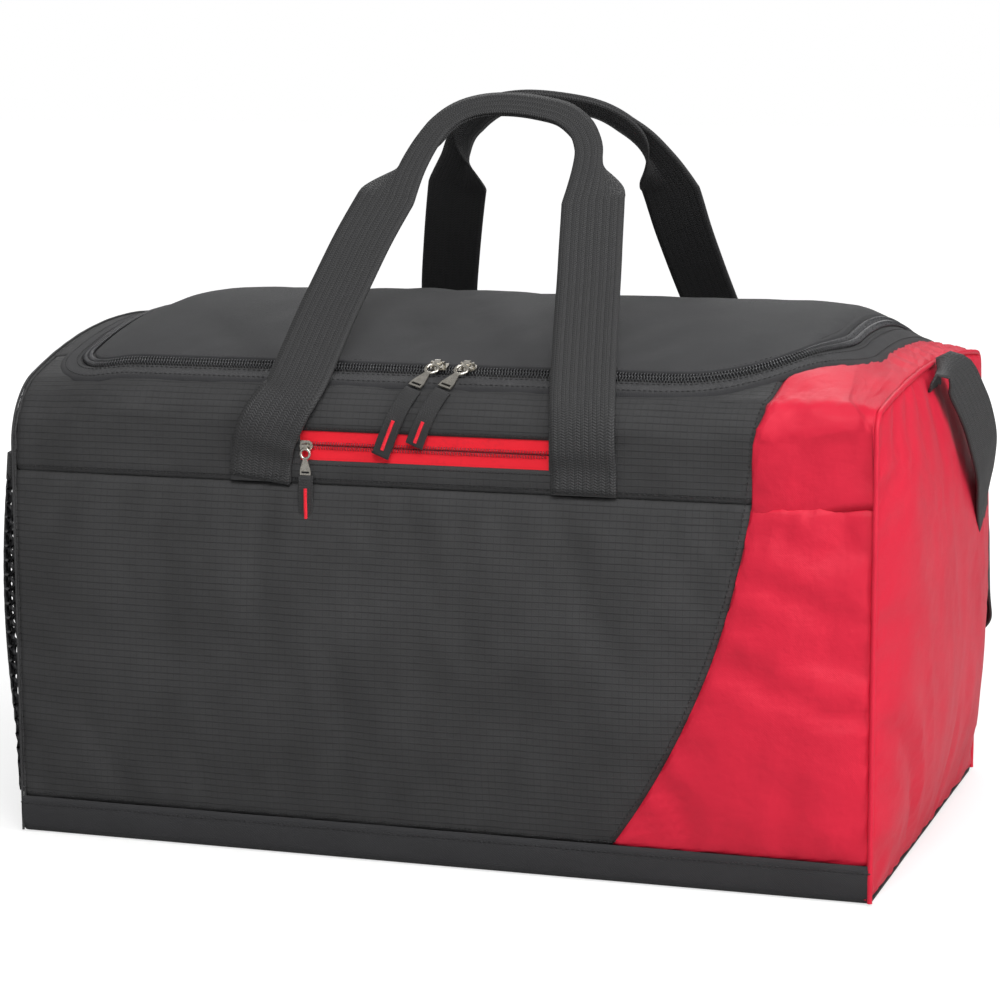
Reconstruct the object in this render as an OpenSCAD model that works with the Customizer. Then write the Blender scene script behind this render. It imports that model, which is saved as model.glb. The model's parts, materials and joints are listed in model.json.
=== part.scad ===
// Soft kit bag: black and red cloth body, U-shaped zipped lid, two webbing handles,
// a zipped front pocket, a mesh end pocket and a shoulder strap.
// The origin is the centre of the base on the floor. X runs to the red end, Y to the back, Z up.

/* [Body] */
// Length from end to end
body_l = 554; // [546:2:570]
// Depth from front to back
body_d = 346; // [340:2:356]
// Height of the crown in the middle of the top
crown_h = 334; // [330:1:338]
// Height where a wall starts to roll over into the top
wall_h = 270; // [268:1:272]
// Radius of the roll between a wall and the top
roll_r = 30; // [28:1:32]
// Height of the seam between the lower panels and the yokes
yoke_seam_h = 236; // [230:1:238]
// Height of the base tray
tray_h = 23; // [18:1:30]
// Thickness of the padded cloth
cloth_t = 2; // [1.6:0.1:2.1]

/* [Ends] */
// Radius of the roll at the red end
right_roll_r = 12; // [10:1:16]
// Height where the walls start to roll over at the red end
right_wall_h = 280; // [276:1:284]
// Height of the crown at the red end
right_crown_h = 302; // [300:1:306]
// Radius of the roll at the black end
left_roll_r = 46; // [40:1:48]
// Height where the walls start to roll over at the black end
left_wall_h = 250; // [248:1:256]
// Height of the crown at the black end
left_crown_h = 318; // [314:1:322]

/* [Red corner] */
// Radius of the curved seam between black and red
seam_r = 454; // [450:1:458]
// Where the curved seam meets the yoke seam, from the middle of the bag
seam_x = 203; // [198:1:208]
// Where the curved seam meets the zip facing
seam_top_x = 213; // [208:1:228]

/* [Main zip] */
// Front run of the zip, in front of the middle of the bag
zip_front = 141; // [136:1:144]
// Side run of the zip at the black end
zip_left = 248; // [244:1:250]
// Side run of the zip at the red end
zip_right = 238; // [232:1:240]
// Corner radius of the zip at the black end
zip_left_r = 28; // [24:1:36]
// Corner radius of the zip at the red end
zip_right_r = 92; // [80:1:96]
// Lid hinge line behind the middle of the bag
hinge_y = 135; // [130:1:138]
// Width of the cloth facing outside the zip
facing_w = 12.5; // [10:0.5:13]
// Width of the closed coil
coil_w = 6; // [5.6:0.1:6.4]

/* [Pocket zip] */
// Height of the pocket zip
pocket_z = 259.5; // [258:0.5:260]
// Opening of the pocket, from its black end
pocket_left = 81; // [78:1:82]
// Opening of the pocket, to its red end
pocket_right = 79; // [76:1:80]
// Height of the pocket opening
pocket_open_h = 18; // [17:0.5:18]

/* [Handles and strap] */
// Width of the handle webbing
handle_w = 40; // [36:1:40]
// Thickness of the webbing
webbing_t = 1.6; // [1.2:0.1:1.8]
// Width of the folded grip
grip_w = 20; // [18:1:22]
// Lean of each handle towards the middle of the bag, in degrees
handle_lean = 42.2; // [40:0.1:42.2]
// Foot of the front handle at the black end, from the middle of the bag
front_foot_left = 106; // [104:1:110]
// Foot of the front handle at the red end, from the middle of the bag
front_foot_right = 101; // [100:1:106]
// Feet of the back handle, from the middle of the bag
back_foot = 104; // [98:1:110]
// Width of the shoulder strap
strap_w = 38; // [34:1:40]

/* [Sliders] */
// Turn of the main zip pulls towards the black end, in degrees
pull_skew = 22; // [15:1:25]
// Place of the left main slider
left_slider_x = -1; // [-10:1:0]
// Place of the right main slider
right_slider_x = 18; // [17:1:30]
// Place of the pocket slider
pocket_slider_x = -76; // [-78:1:-70]

/* [Hidden] */

half_d = body_d / 2;
half_l = body_l / 2;
gap = 0.4;
side_x = half_l - cloth_t - gap;
blend_right = 218;
blend_left = 200;

black = [0.13, 0.13, 0.14];
jet = [0.08, 0.08, 0.09];
red = [0.88, 0.12, 0.2];
nickel = [0.7, 0.69, 0.66];

coil_top = 1.9;
coil_low = -0.3;
tape_low = -1.1;
centre_gap = 0.8;
tape_edge = 4.2;
cloth_edge = 4.5;
facing_edge = cloth_edge + facing_w;
yoke_edge = facing_edge + 1.4;
facing_top = 0.8;
lid_top = 1.7;
side_steps = 8;
corner_steps = 8;
yoke_steps = 11;
lid_steps = 13;

pivot_h = 262;
reach = roll_r + 4.4;
foot_t = 1.5;

slider_slot_low = -1.5;
slider_slot_high = 2.3;
slider_plate = 0.9;
slider_half_w = 4.2;
slider_l = 11;
bar_h = 5.8;
bar_r = 0.8;
pull_l = 24;
pull_t = 1;
pull_slope = 35;
tab_w = 11;
tab_stand = 2.2;
tab_end_left = 255.6;
tab_end_right = 262.8;
tab_start = 51;
stitch_w = 2.5;
stitch_t = 0.4;
pocket_scale = 0.75;
pocket_tab_end = 214.7;
pocket_tab_up = 3.4;
pocket_tab_w = 9;

function mix(a, b, t) = a + (b - a) * t;
function unit(v) = v / norm(v);
function ease(t) = let (c = min(1, max(0, t))) c * c * (3 - 2 * c);

// Values of the cross-section, which change towards the two ends
function along(middle, right, left, x) = middle
    + (right - middle) * ease((x - blend_right) / (side_x - blend_right))
    + (left - middle) * ease((-x - blend_left) / (side_x - blend_left));
function roll_at(x) = along(roll_r, right_roll_r, left_roll_r, x);
function wall_at(x) = along(wall_h, right_wall_h, left_wall_h, x);
function crown_at(x) = along(crown_h, right_crown_h, left_crown_h, x);
function arch_at(x) =
    let (r = roll_at(x), k = crown_at(x) - wall_at(x), w = half_d - r)
    (w * w + k * k - r * r) / (2 * (k - r));
function turn_at(x) = acos((half_d - roll_at(x)) / (arch_at(x) - roll_at(x)));
function shoulder_at(x) = arch_at(x) * cos(turn_at(x));

// A point of the skin at x, where p runs round the bag: 0 bottom of the front wall, 1 start of
// the roll, 2 end of the roll, 3 crown, 6 bottom of the back wall. up is measured off the skin.
function front_skin(x, p, up) =
    let (r = roll_at(x), a = arch_at(x), turn = (p - 1) * turn_at(x),
         lean = asin(-(3 - p) * shoulder_at(x) / a))
    p <= 1 ? [x, -half_d - up, p * wall_at(x)] :
    p <= 2 ? [x, r - half_d - (r + up) * cos(turn), wall_at(x) + (r + up) * sin(turn)] :
    [x, (a + up) * sin(lean), crown_at(x) - a + (a + up) * cos(lean)];
function skin(x, p, up) =
    p <= 3 ? front_skin(x, p, up) :
    let (q = front_skin(x, 6 - p, up)) [q[0], -q[1], q[2]];

// Skin coordinates of a point of the top, seen from above, and of a point of the front wall
function on_top(x, y) = [x, y > 0 ? 6 - front_girth(x, -y) : front_girth(x, y)];
function front_girth(x, y) =
    y >= -shoulder_at(x) ? 3 + y / shoulder_at(x) :
    1 + acos((roll_at(x) - half_d - y) / roll_at(x)) / turn_at(x);
function on_wall(x, z) = [x, z / wall_at(x)];

// Closed sheet between two grids of points with n points in a row
module sheet(top, low, n) {
    size = len(top);
    rows = size / n;
    rim = concat([for (j = [0:n - 2]) j], [for (i = [0:rows - 2]) i * n + n - 1],
        [for (j = [n - 1:-1:1]) size - n + j], [for (i = [rows - 1:-1:1]) i * n]);
    cells = [for (i = [0:rows - 2], j = [0:n - 2]) i * n + j];
    polyhedron(points = concat(top, low), faces = concat(
        [for (k = cells) each [[k, k + n, k + 1], [k + 1, k + n, k + n + 1]]],
        [for (k = cells) each [[size + k, size + k + 1, size + k + n],
            [size + k + 1, size + k + n + 1, size + k + n]]],
        [for (i = [0:len(rim) - 1])
            let (u = rim[i], v = rim[(i + 1) % len(rim)])
            each [[u, v, v + size], [u, v + size, u + size]]]));
}

// Cloth between two edges given in skin coordinates; bow bends the lines between them
module cloth(outer, inner, steps, high, low, bow = 1.6) {
    grid = [for (i = [0:steps], j = [0:len(outer) - 1])
        [mix(outer[j][0], inner[j][0], pow(i / steps, bow)), mix(outer[j][1], inner[j][1], i / steps)]];
    sheet([for (q = grid) skin(q[0], q[1], high)], [for (q = grid) skin(q[0], q[1], low)], len(outer));
}

// Flat band through frames of [centre, facing direction, width, thickness]
module ribbon(path) {
    last = len(path) - 1;
    points = [for (i = [0:last])
        let (heading = unit(path[min(i + 1, last)][0] - path[max(i - 1, 0)][0]),
             across = unit(cross(path[i][1], heading)),
             w = across * path[i][2] / 2,
             h = cross(heading, across) * path[i][3] / 2)
        each [path[i][0] - w - h, path[i][0] + w - h, path[i][0] + w + h, path[i][0] - w + h]];
    polyhedron(points = points, faces = concat([[0, 1, 2], [0, 2, 3]],
        [for (i = [0:last - 1], k = [0:3])
            let (a = 4 * i + k, b = 4 * i + (k + 1) % 4)
            each [[b, a, a + 4], [b, a + 4, b + 4]]],
        [[4 * last + 2, 4 * last + 1, 4 * last], [4 * last + 3, 4 * last + 2, 4 * last]]));
}

// Solid of one cross-section (y, z) from x = start over a length
module along_x(start, length) {
    translate([start, 0, 0]) rotate([90, 0, 90]) linear_extrude(length) children();
}

// Flat solid of a front outline (x, z) whose outer face is up off the front wall
module on_front(up, thickness) {
    translate([0, -half_d - up, 0]) rotate([90, 0, 180]) mirror([1, 0, 0])
        linear_extrude(thickness) children();
}

// Plan of the main zip, moved e outwards, from the left hinge end to the right one
function zip_corner(side, r, e) =
    [for (k = [0:corner_steps])
        let (a = 90 * (side < 0 ? corner_steps - k : k) / corner_steps,
             cx = side < 0 ? r - zip_left : zip_right - r)
        [cx + side * (r + e) * sin(a), r - zip_front - (r + e) * cos(a)]];
function zip_run(e) = concat(
    [for (k = [0:side_steps - 1])
        [-zip_left - e, mix(hinge_y - 1, zip_left_r - zip_front, k / side_steps)]],
    zip_corner(-1, zip_left_r, e),
    [[-blend_left, -zip_front - e]],
    zip_corner(1, zip_right_r, e),
    [for (k = [1:side_steps])
        [zip_right + e, mix(zip_right_r - zip_front, hinge_y - 1, k / side_steps)]]);
function zip_line(e) = [for (q = zip_run(e)) on_top(q[0], q[1])];
module zip_strip(outer, inner, high, low) {
    cloth(zip_line(outer), zip_line(inner), 1, high, low);
}

// Curved seam between black and red on the front wall, moved by shift
seam_centre_z = right_wall_h + right_roll_r;
seam_centre_x = seam_x - sqrt(seam_r * seam_r - pow(seam_centre_z - yoke_seam_h, 2));
function seam_at(z, shift) = seam_centre_x + shift + sqrt(seam_r * seam_r - pow(seam_centre_z - z, 2));
function seam_points(shift, low, high) =
    [for (k = [0:12]) let (z = mix(low, high, k / 12)) [seam_at(z, shift), z]];

// Base
module base_panel() {
    color(jet) along_x(-side_x, 2 * side_x) difference() {
        translate([-half_d, 0]) square([body_d, tray_h]);
        translate([cloth_t - half_d, cloth_t]) square([body_d - 2 * cloth_t, tray_h]);
    }
}

module inner_floor(bottom, thickness) {
    translate([10 - side_x, 8 - half_d, bottom]) cube([2 * side_x - 20, body_d - 16, thickness]);
}

module base_board() {
    color(black) inner_floor(cloth_t + gap, 3);
}

module base_lining() {
    color(jet) inner_floor(cloth_t + 3 + 2 * gap, 0.8);
}

// Lower wall panels
module black_wall() {
    low = tray_h + gap;
    high = yoke_seam_h - gap;
    on_front(0, cloth_t)
        polygon(concat([[-side_x, high], [-side_x, low]], seam_points(-gap / 2, low, high)));
}

module red_wall() {
    low = tray_h + gap;
    high = yoke_seam_h - gap;
    on_front(0, cloth_t)
        polygon(concat(seam_points(gap / 2, low, high), [[side_x, high], [side_x, low]]));
}

module front_pocket_panel() {
    color(black) black_wall();
}

module front_corner_panel() {
    color(red) red_wall();
}

module back_panel() {
    color(black) mirror([0, 1, 0]) black_wall();
}

module back_corner_panel() {
    color(red) mirror([0, 1, 0]) red_wall();
}

// Yokes: from the seam on the wall over the roll to the top
function seam_foot(x) = on_wall(x, yoke_seam_h + gap);
function share(points, j) = (points[j][0] - points[0][0]) / (points[len(points) - 1][0] - points[0][0]);
seam_top_angle = asin((seam_top_x - zip_right + zip_right_r) / (zip_right_r + yoke_edge));
function right_edge(from, to, steps) =
    [for (k = [0:steps])
        let (a = mix(from, to, k / steps), r = zip_right_r + yoke_edge)
        [zip_right - zip_right_r + r * sin(a), zip_right_r - zip_front - r * cos(a)]];

module front_yoke_panel() {
    top_edge = concat([[-side_x, zip_left_r - zip_front]], zip_corner(-1, zip_left_r, yoke_edge),
        [[-blend_left, -zip_front - yoke_edge]], right_edge(0, seam_top_angle - 0.1, 5));
    foot = [for (j = [0:len(top_edge) - 1])
        seam_foot(mix(-side_x, seam_x - gap / 2, share(top_edge, j)))];
    color(black) difference() {
        cloth(foot, [for (q = top_edge) on_top(q[0], q[1])], yoke_steps, 0, -cloth_t);
        translate([-pocket_left, -half_d - 5, pocket_z - pocket_open_h / 2])
            cube([pocket_left + pocket_right, 10, pocket_open_h]);
    }
}

module corner_yoke_panel() {
    top_edge = concat(right_edge(seam_top_angle + 0.1, 90, corner_steps),
        [for (k = [1:side_steps])
            [zip_right + yoke_edge, mix(zip_right_r - zip_front, hinge_y + 2, k / side_steps)]]);
    foot_columns = 4;
    foot = [for (j = [0:len(top_edge) - 1])
        j < foot_columns ? seam_foot(mix(seam_x + gap / 2, side_x, j / (foot_columns - 1))) :
        j <= corner_steps ?
            [side_x, mix(seam_foot(side_x)[1], on_top(side_x, zip_right_r - zip_front)[1],
                (j - foot_columns + 1) / (corner_steps - foot_columns + 1))] :
        on_top(side_x, top_edge[j][1])];
    color(red) cloth(foot, [for (q = top_edge) on_top(q[0], q[1])], yoke_steps, 0, -cloth_t);
}

module back_yoke(from_low, to_low, from_top, to_top, columns) {
    foot = [for (k = [0:columns]) seam_foot(mix(from_low, to_low, k / columns))];
    top_edge = [for (k = [0:columns]) on_top(mix(from_top, to_top, k / columns), -hinge_y - 3)];
    mirror([0, 1, 0]) cloth(foot, top_edge, yoke_steps, 0, -cloth_t);
}

module back_yoke_panel() {
    color(black) back_yoke(-side_x, seam_x - gap / 2, -side_x, seam_top_x - gap / 2, 20);
}

module back_corner_yoke_panel() {
    color(red) back_yoke(seam_x + gap / 2, side_x, seam_top_x + gap / 2, side_x, 5);
}

module top_strip_left() {
    columns = 2 * side_steps;
    ys = [for (k = [0:columns]) mix(hinge_y + 2, zip_left_r - zip_front + gap, k / columns)];
    inner_x = gap / 2 - zip_left - yoke_edge;
    color(black)
        cloth([for (y = ys) on_top(-side_x, y)], [for (y = ys) on_top(inner_x, y)], 1, 0, -cloth_t);
}

// Ends
module end_panel(x) {
    bottom = 6;
    rim = [for (p = [1:0.125:5]) let (q = skin(x, p, 0)) [q[1], q[2]]];
    polygon(concat([[-half_d, bottom]], rim, [[half_d, bottom]]));
}

module end_panel_right() {
    color(red) along_x(half_l - cloth_t, cloth_t) end_panel(side_x);
}

module end_panel_left() {
    color(black) along_x(-half_l, cloth_t) end_panel(-side_x);
}

module seam_binding(x) {
    bottom = tray_h + 4;
    low = bottom / wall_at(x);
    ps = concat([low], [for (p = [1:0.2:5]) p], [6 - low]);
    grid = [for (p = ps, side = [0, 6]) [x + side, p]];
    sheet([for (q = grid) skin(q[0], q[1], -cloth_t - 2 * gap)],
        [for (q = grid) skin(q[0], q[1], -cloth_t - 2 * gap - 1.5)], 2);
}

module seam_binding_right() {
    color(jet) seam_binding(side_x - 6.6);
}

module seam_binding_left() {
    color(jet) seam_binding(0.6 - side_x);
}

// Main zip
module zip_facing() {
    color(jet) zip_strip(facing_edge, cloth_edge, facing_top, -0.2);
}

module zip_tape_outer() {
    color(jet) zip_strip(tape_edge, centre_gap, coil_low - 0.1, tape_low);
}

module zip_coil_outer() {
    color(jet) zip_strip(coil_w / 2, centre_gap, coil_top, coil_low);
}

module zip_tape_inner() {
    color(jet) zip_strip(-centre_gap, -tape_edge, coil_low - 0.1, tape_low);
}

module zip_coil_inner() {
    color(jet) zip_strip(-centre_gap, -coil_w / 2, coil_top, coil_low);
}

module lid_panel() {
    edge = concat(zip_corner(-1, zip_left_r, -cloth_edge),
        [[-blend_left - 8, -zip_front + cloth_edge], [-blend_left, -zip_front + cloth_edge]],
        zip_corner(1, zip_right_r, -cloth_edge));
    color(black) cloth([for (q = edge) on_top(q[0], q[1])], [for (q = edge) on_top(q[0], hinge_y - 1)],
        lid_steps, lid_top, 0);
}

// Pocket zip
module pocket_bar(low, high, up, thickness) {
    on_front(up, thickness) translate([gap - pocket_left, low])
        square([pocket_left + pocket_right - 2 * gap, high - low]);
}

module pocket_tape_upper() {
    color(red) pocket_bar(pocket_z + 2.6, pocket_z + pocket_open_h / 2 - gap, -1, 1);
}

module pocket_tape_lower() {
    color(red) pocket_bar(pocket_z - pocket_open_h / 2 + gap, pocket_z - 2.6, -1, 1);
}

module pocket_coil() {
    color(red) for (side = [-1, 1])
        pocket_bar(pocket_z + side * 1.4 - 0.8, pocket_z + side * 1.4 + 0.8, -0.2, 1.9);
}

module pocket_lining() {
    deep = 5;
    wall_y = -half_d + deep;
    low = 120;
    high = pocket_z + 8;
    color(jet) along_x(-pocket_left - 14, pocket_left + pocket_right + 28) difference() {
        translate([wall_y, low]) square([2.4, high - low]);
        translate([wall_y + 0.8, low + 0.8]) square([0.8, high - low]);
    }
}

// Mesh pocket on the black end: u runs from front to back, v from bottom to top
mesh_half = 170;
mesh_low = 26;
mesh_high = 238;
mesh_back_bulge = 8;
mesh_front_bulge = 22;
function mesh_point(u, v, out) =
    [-half_l - 0.6 - out - mix(mesh_back_bulge, mesh_front_bulge, u)
            * sqrt(1 - pow(2 * u - 1, 6)) * max(0, sin(150 * v)),
        mix(mesh_half, -mesh_half, u), mix(mesh_low, mesh_high, v)];
module mesh_sheet(from, to, steps, out) {
    across = [0, 0.01, 0.03, 0.07, 0.13, 0.22, 0.33, 0.45, 0.57, 0.68, 0.78, 0.87, 0.93, 0.97, 0.99, 1];
    grid = [for (i = [0:steps], u = across) [u, mix(from, to, i / steps)]];
    sheet([for (q = grid) mesh_point(q[0], q[1], out)], [for (q = grid) mesh_point(q[0], q[1], 0)],
        len(across));
}

module mesh_pocket() {
    color(jet) mesh_sheet(0, 1, 10, 1.2);
}

module mesh_pocket_binding() {
    color(black) mesh_sheet(1.005, 1.04, 1, 2.2);
}

// Handles. s is the length along the webbing above the pivot, side is -1 in front and 1 behind.
stem = wall_h - pivot_h;
bend = reach * handle_lean * PI / 180;
function rise(s) =
    let (a = min(handle_lean, max(0, (s - stem) / reach * 180 / PI)), t = max(0, s - stem - bend))
    [half_d - roll_r + reach * cos(a) - t * sin(a),
        min(wall_h, pivot_h + s) + reach * sin(a) + t * cos(a), a];
function webbing_at(x, s, side) =
    let (q = rise(s), folded = ease((s - 205) / 30))
    [[x, side * q[0], q[1]], [0, side * cos(q[2]), sin(q[2])],
        mix(handle_w, grip_w, folded), mix(webbing_t, 2 * webbing_t + 0.2, folded)];

module handle(outline, side) {
    intersection() {
        ribbon([for (q = outline) webbing_at(q[0], q[1], side)]);
        translate([0, 0, pivot_h + gap + body_d]) cube(2 * body_d, center = true);
    }
}

module handle_front() {
    outline = [[-front_foot_left - 6, -12], [-front_foot_left, 1], [-101, 8], [-92, 22], [-85, 40],
        [-79, 92], [-70, 148], [-61, 188], [-54, 214], [-45, 235], [-33, 252], [-18, 260], [2, 262],
        [24, 259], [44, 252], [61, 234], [70, 210], [81, 144], [89, 91], [96, 47], [100, 22],
        [front_foot_right, 1], [front_foot_right, -12]];
    color(jet) handle(outline, -1);
}

module handle_back() {
    outline = [[-back_foot, -12], [-back_foot, 1], [-103, 22], [-95, 69], [-81, 120], [-63, 179],
        [-53, 207], [-43, 235], [-20, 257], [3, 264], [30, 262], [55, 254], [72, 237], [81, 218],
        [87, 191], [90, 140], [96, 76], [103, 22], [back_foot, 1], [back_foot, -12]];
    color(jet) handle(outline, 1);
}

module handle_feet() {
    foot_y = half_d + gap + 0.1;
    low = yoke_seam_h + gap;
    front = [for (x = [-front_foot_left, front_foot_right]) [x, -foot_y - foot_t]];
    back = [for (x = [-back_foot, back_foot]) [x, foot_y]];
    color(jet) for (q = concat(front, back))
        translate([q[0] - handle_w / 2, q[1], low]) cube([handle_w, foot_t, pivot_h - low]);
}

// Shoulder strap: sewn to both ends, falls outwards and hangs behind the back. Each frame is a
// centre and the way the strap faces there; the black end has the same frames, mirrored.
strap_y = -19;
strap_end_z = 289;
strap_back_y = half_d + 22;
strap_back_z = 96;
strap_x = half_l + 3.7;
strap_frames = [
    [[strap_x, strap_y, strap_end_z], [-1, 0, 0.05]],
    [[strap_x + 2, strap_y, strap_end_z + 10], [-0.75, -0.1, 0.66]],
    [[strap_x + 8, strap_y + 2, strap_end_z + 13], [0.3, -0.35, 0.9]],
    [[strap_x + 16, strap_y + 7, strap_end_z + 5], [0.87, -0.4, 0.3]],
    [[strap_x + 22, strap_y + 16, 278], [0.95, -0.29, 0.07]],
    [[strap_x + 25, 10, 262], [0.97, -0.22, -0.08]],
    [[strap_x + 26, 30, 240], [0.97, -0.12, -0.15]],
    [[strap_x + 21, 58, 216], [0.98, 0, -0.2]],
    [[strap_x + 15, 88, 192], [0.99, 0.1, -0.1]],
    [[strap_x + 11, 120, 169], [1, 0.05, -0.05]],
    [[strap_x + 9, 150, 143], [0.98, 0.25, 0]],
    [[strap_x - 2, half_d + 9, 118], [0.7, 0.7, 0]],
    [[strap_x - 30, strap_back_y, 101], [0.2, 1, 0]],
    [[strap_x - 80, strap_back_y, strap_back_z], [0, 1, 0]]];
function left_frame(q) = [[-q[0][0], q[0][1], q[0][2]], [-q[1][0], q[1][1], q[1][2]]];

// Curve through points, with steps samples from each point to the next
function curve(points, steps) =
    let (last = len(points) - 1,
         p = concat([2 * points[0] - points[1]], points, [2 * points[last] - points[last - 1]]))
    concat([for (i = [1:last], k = [0:steps - 1])
        let (t = k / steps, b = p[i + 1] - p[i - 1],
             c = 2 * p[i - 1] - 5 * p[i] + 4 * p[i + 1] - p[i + 2],
             d = 3 * p[i] - p[i - 1] - 3 * p[i + 1] + p[i + 2])
        p[i] + (b * t + c * t * t + d * t * t * t) / 2], [points[last]]);

module shoulder_strap() {
    last = len(strap_frames) - 1;
    frames = concat(strap_frames, [for (i = [last:-1:0]) left_frame(strap_frames[i])]);
    color(jet) ribbon([for (q = curve([for (q = frames) concat(q[0], q[1])], 3))
        [[q[0], q[1], q[2]], [q[3], q[4], q[5]], strap_w, webbing_t]]);
}

module strap_feet() {
    foot_h = 26;
    color(jet) for (side = [-1, 1])
        translate([side * (half_l + gap + webbing_t / 2), strap_y, strap_end_z - 1 - foot_h / 2])
            cube([webbing_t, strap_w, foot_h], center = true);
}

module strap_adjuster() {
    length = 26;
    depth = 4.8;
    window = 7;
    color(jet) translate([150, strap_back_y, strap_back_z]) difference() {
        cube([length, depth, strap_w + 8], center = true);
        cube([length + 4, webbing_t + 0.8, strap_w + 0.8], center = true);
        for (side = [-1, 1])
            translate([side * 6, -2, 0]) cube([window, 4, strap_w], center = true);
    }
}

// Sliders, in a frame whose Z stands off the zip and whose -Y is the way the pull hangs
module slider() {
    half = slider_l / 2;
    for (z = [slider_slot_low - slider_plate, slider_slot_high])
        translate([0, 0, z]) linear_extrude(slider_plate) {
            translate([-half, -slider_half_w]) square([slider_l - 3, 2 * slider_half_w]);
            translate([half - slider_half_w, 0]) circle(slider_half_w, $fn = 32);
        }
    translate([-1.5, -0.5, slider_slot_low - 0.1])
        cube([3, 1, slider_slot_high - slider_slot_low + 0.2]);
    translate([0, 0, bar_h]) rotate([0, 90, 0]) cylinder(r = bar_r, h = 7.6, center = true, $fn = 24);
    for (side = [-1, 1])
        translate([side * 3.8, 0, (slider_slot_high + bar_h + bar_r) / 2])
            cube([1.2, 2 * bar_r, bar_h + bar_r - slider_slot_high], center = true);
}

module pull(turn) {
    ring_y = -6.4;
    rotate([0, 90, 0]) difference() {
        cylinder(r = 1.9, h = 4, center = true, $fn = 24);
        cylinder(r = bar_r + 0.25, h = 5, center = true, $fn = 24);
    }
    rotate([0, 0, -turn]) {
        translate([0, ring_y, 0]) rotate_extrude($fn = 32) translate([3.9, 0]) circle(1.1, $fn = 16);
        translate([0, 0, -pull_t / 2]) linear_extrude(pull_t) difference() {
            polygon([[-1.8, -10.6], [1.8, -10.6], [4.6, -pull_l + 4], [4.6, -pull_l],
                [-4.6, -pull_l], [-4.6, -pull_l + 4]]);
            translate([-3.4, -pull_l + 1.4]) square([6.8, 1.6]);
        }
    }
}

// Frame of a main slider at x, and of its pull
zip_lean = asin(zip_front / arch_at(0));
module on_zip(x) {
    translate(skin(x, on_top(x, -zip_front)[1], 0)) rotate([zip_lean, 0, 0]) children();
}
module main_pull(x) {
    color(nickel) on_zip(x) translate([0, 0, bar_h]) rotate([pull_slope - zip_lean, 0, 0])
        pull(pull_skew);
}

// Webbing tab that lies over the roll and hangs in front of the wall, and its stitched bar
function tab_frame(x, angle, z, up, w, t) =
    let (r = roll_r + up, run = r * (tab_start - angle) * PI / 180 + wall_h - z)
    [[x - pull_l * sin(pull_skew) - run * tan(pull_skew), r - up - half_d - r * cos(angle),
        z + r * sin(angle)],
        [0, -cos(angle), sin(angle)], w, t];
module main_tab(x, end_z) {
    angles = [for (k = [0:4]) tab_start * (1 - k / 4)];
    color(jet) ribbon(concat([for (a = angles) tab_frame(x, a, wall_h, tab_stand, tab_w, webbing_t)],
        [tab_frame(x, 0, end_z, tab_stand, tab_w, webbing_t)]));
}
module main_tab_stitch(x, end_z) {
    up = tab_stand + webbing_t / 2 + stitch_t / 2 + 0.05;
    color(red) ribbon([tab_frame(x, 12, wall_h, up, stitch_w, stitch_t),
        tab_frame(x, 0, wall_h, up, stitch_w, stitch_t),
        tab_frame(x, 0, end_z + 3, up, stitch_w, stitch_t)]);
}

module main_slider_left() {
    color(nickel) on_zip(left_slider_x) mirror([1, 0, 0]) slider();
}
module main_pull_left() {
    main_pull(left_slider_x);
}
module main_tab_left() {
    main_tab(left_slider_x, tab_end_left);
}
module main_tab_stitch_left() {
    main_tab_stitch(left_slider_x, tab_end_left);
}
module main_slider_right() {
    color(nickel) on_zip(right_slider_x) slider();
}
module main_pull_right() {
    main_pull(right_slider_x);
}
module main_tab_right() {
    main_tab(right_slider_x, tab_end_right);
}
module main_tab_stitch_right() {
    main_tab_stitch(right_slider_x, tab_end_right);
}

// Pocket slider, its pull, tab and stitched bar
module on_pocket() {
    translate([pocket_slider_x, -half_d + 1.45, pocket_z]) rotate([90, 0, 0])
        scale(pocket_scale) children();
}
module pocket_slider() {
    color(nickel) on_pocket() slider();
}
module pocket_pull() {
    color(nickel) on_pocket() translate([0, 0, bar_h]) pull(0);
}
module pocket_hanging(top, low, up, w, t) {
    on_front(up, t) translate([pocket_slider_x - w / 2, low]) square([w, top - low]);
}
module pocket_tab() {
    color(jet) pocket_hanging(pocket_z - pull_l * pocket_scale - gap, pocket_tab_end, pocket_tab_up,
        pocket_tab_w, webbing_t);
}
module pocket_tab_stitch() {
    color(red) pocket_hanging(pocket_tab_end + 19, pocket_tab_end + 1, pocket_tab_up + stitch_t + 0.05,
        stitch_w, stitch_t);
}

base_panel();
base_board();
base_lining();
front_pocket_panel();
front_corner_panel();
front_yoke_panel();
corner_yoke_panel();
top_strip_left();
back_panel();
back_corner_panel();
back_yoke_panel();
back_corner_yoke_panel();
end_panel_right();
end_panel_left();
zip_facing();
zip_tape_outer();
zip_coil_outer();
pocket_tape_upper();
pocket_tape_lower();
pocket_coil();
pocket_lining();
seam_binding_right();
seam_binding_left();
handle_feet();
strap_feet();
mesh_pocket();
mesh_pocket_binding();
lid_panel();
zip_tape_inner();
zip_coil_inner();
handle_front();
handle_back();
shoulder_strap();
strap_adjuster();
main_slider_left();
main_pull_left();
main_tab_left();
main_tab_stitch_left();
main_slider_right();
main_pull_right();
main_tab_right();
main_tab_stitch_right();
pocket_slider();
pocket_pull();
pocket_tab();
pocket_tab_stitch();
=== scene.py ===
"""Metres throughout. X runs to the red end, Y to the back, Z up, and the base stands on the floor.
A cloth piece is a grid of points on the skin of the bag: rows climb the girth, columns run along it.
"""
import json
import math

import bpy
import numpy as np
from mathutils import Matrix, Vector


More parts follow.
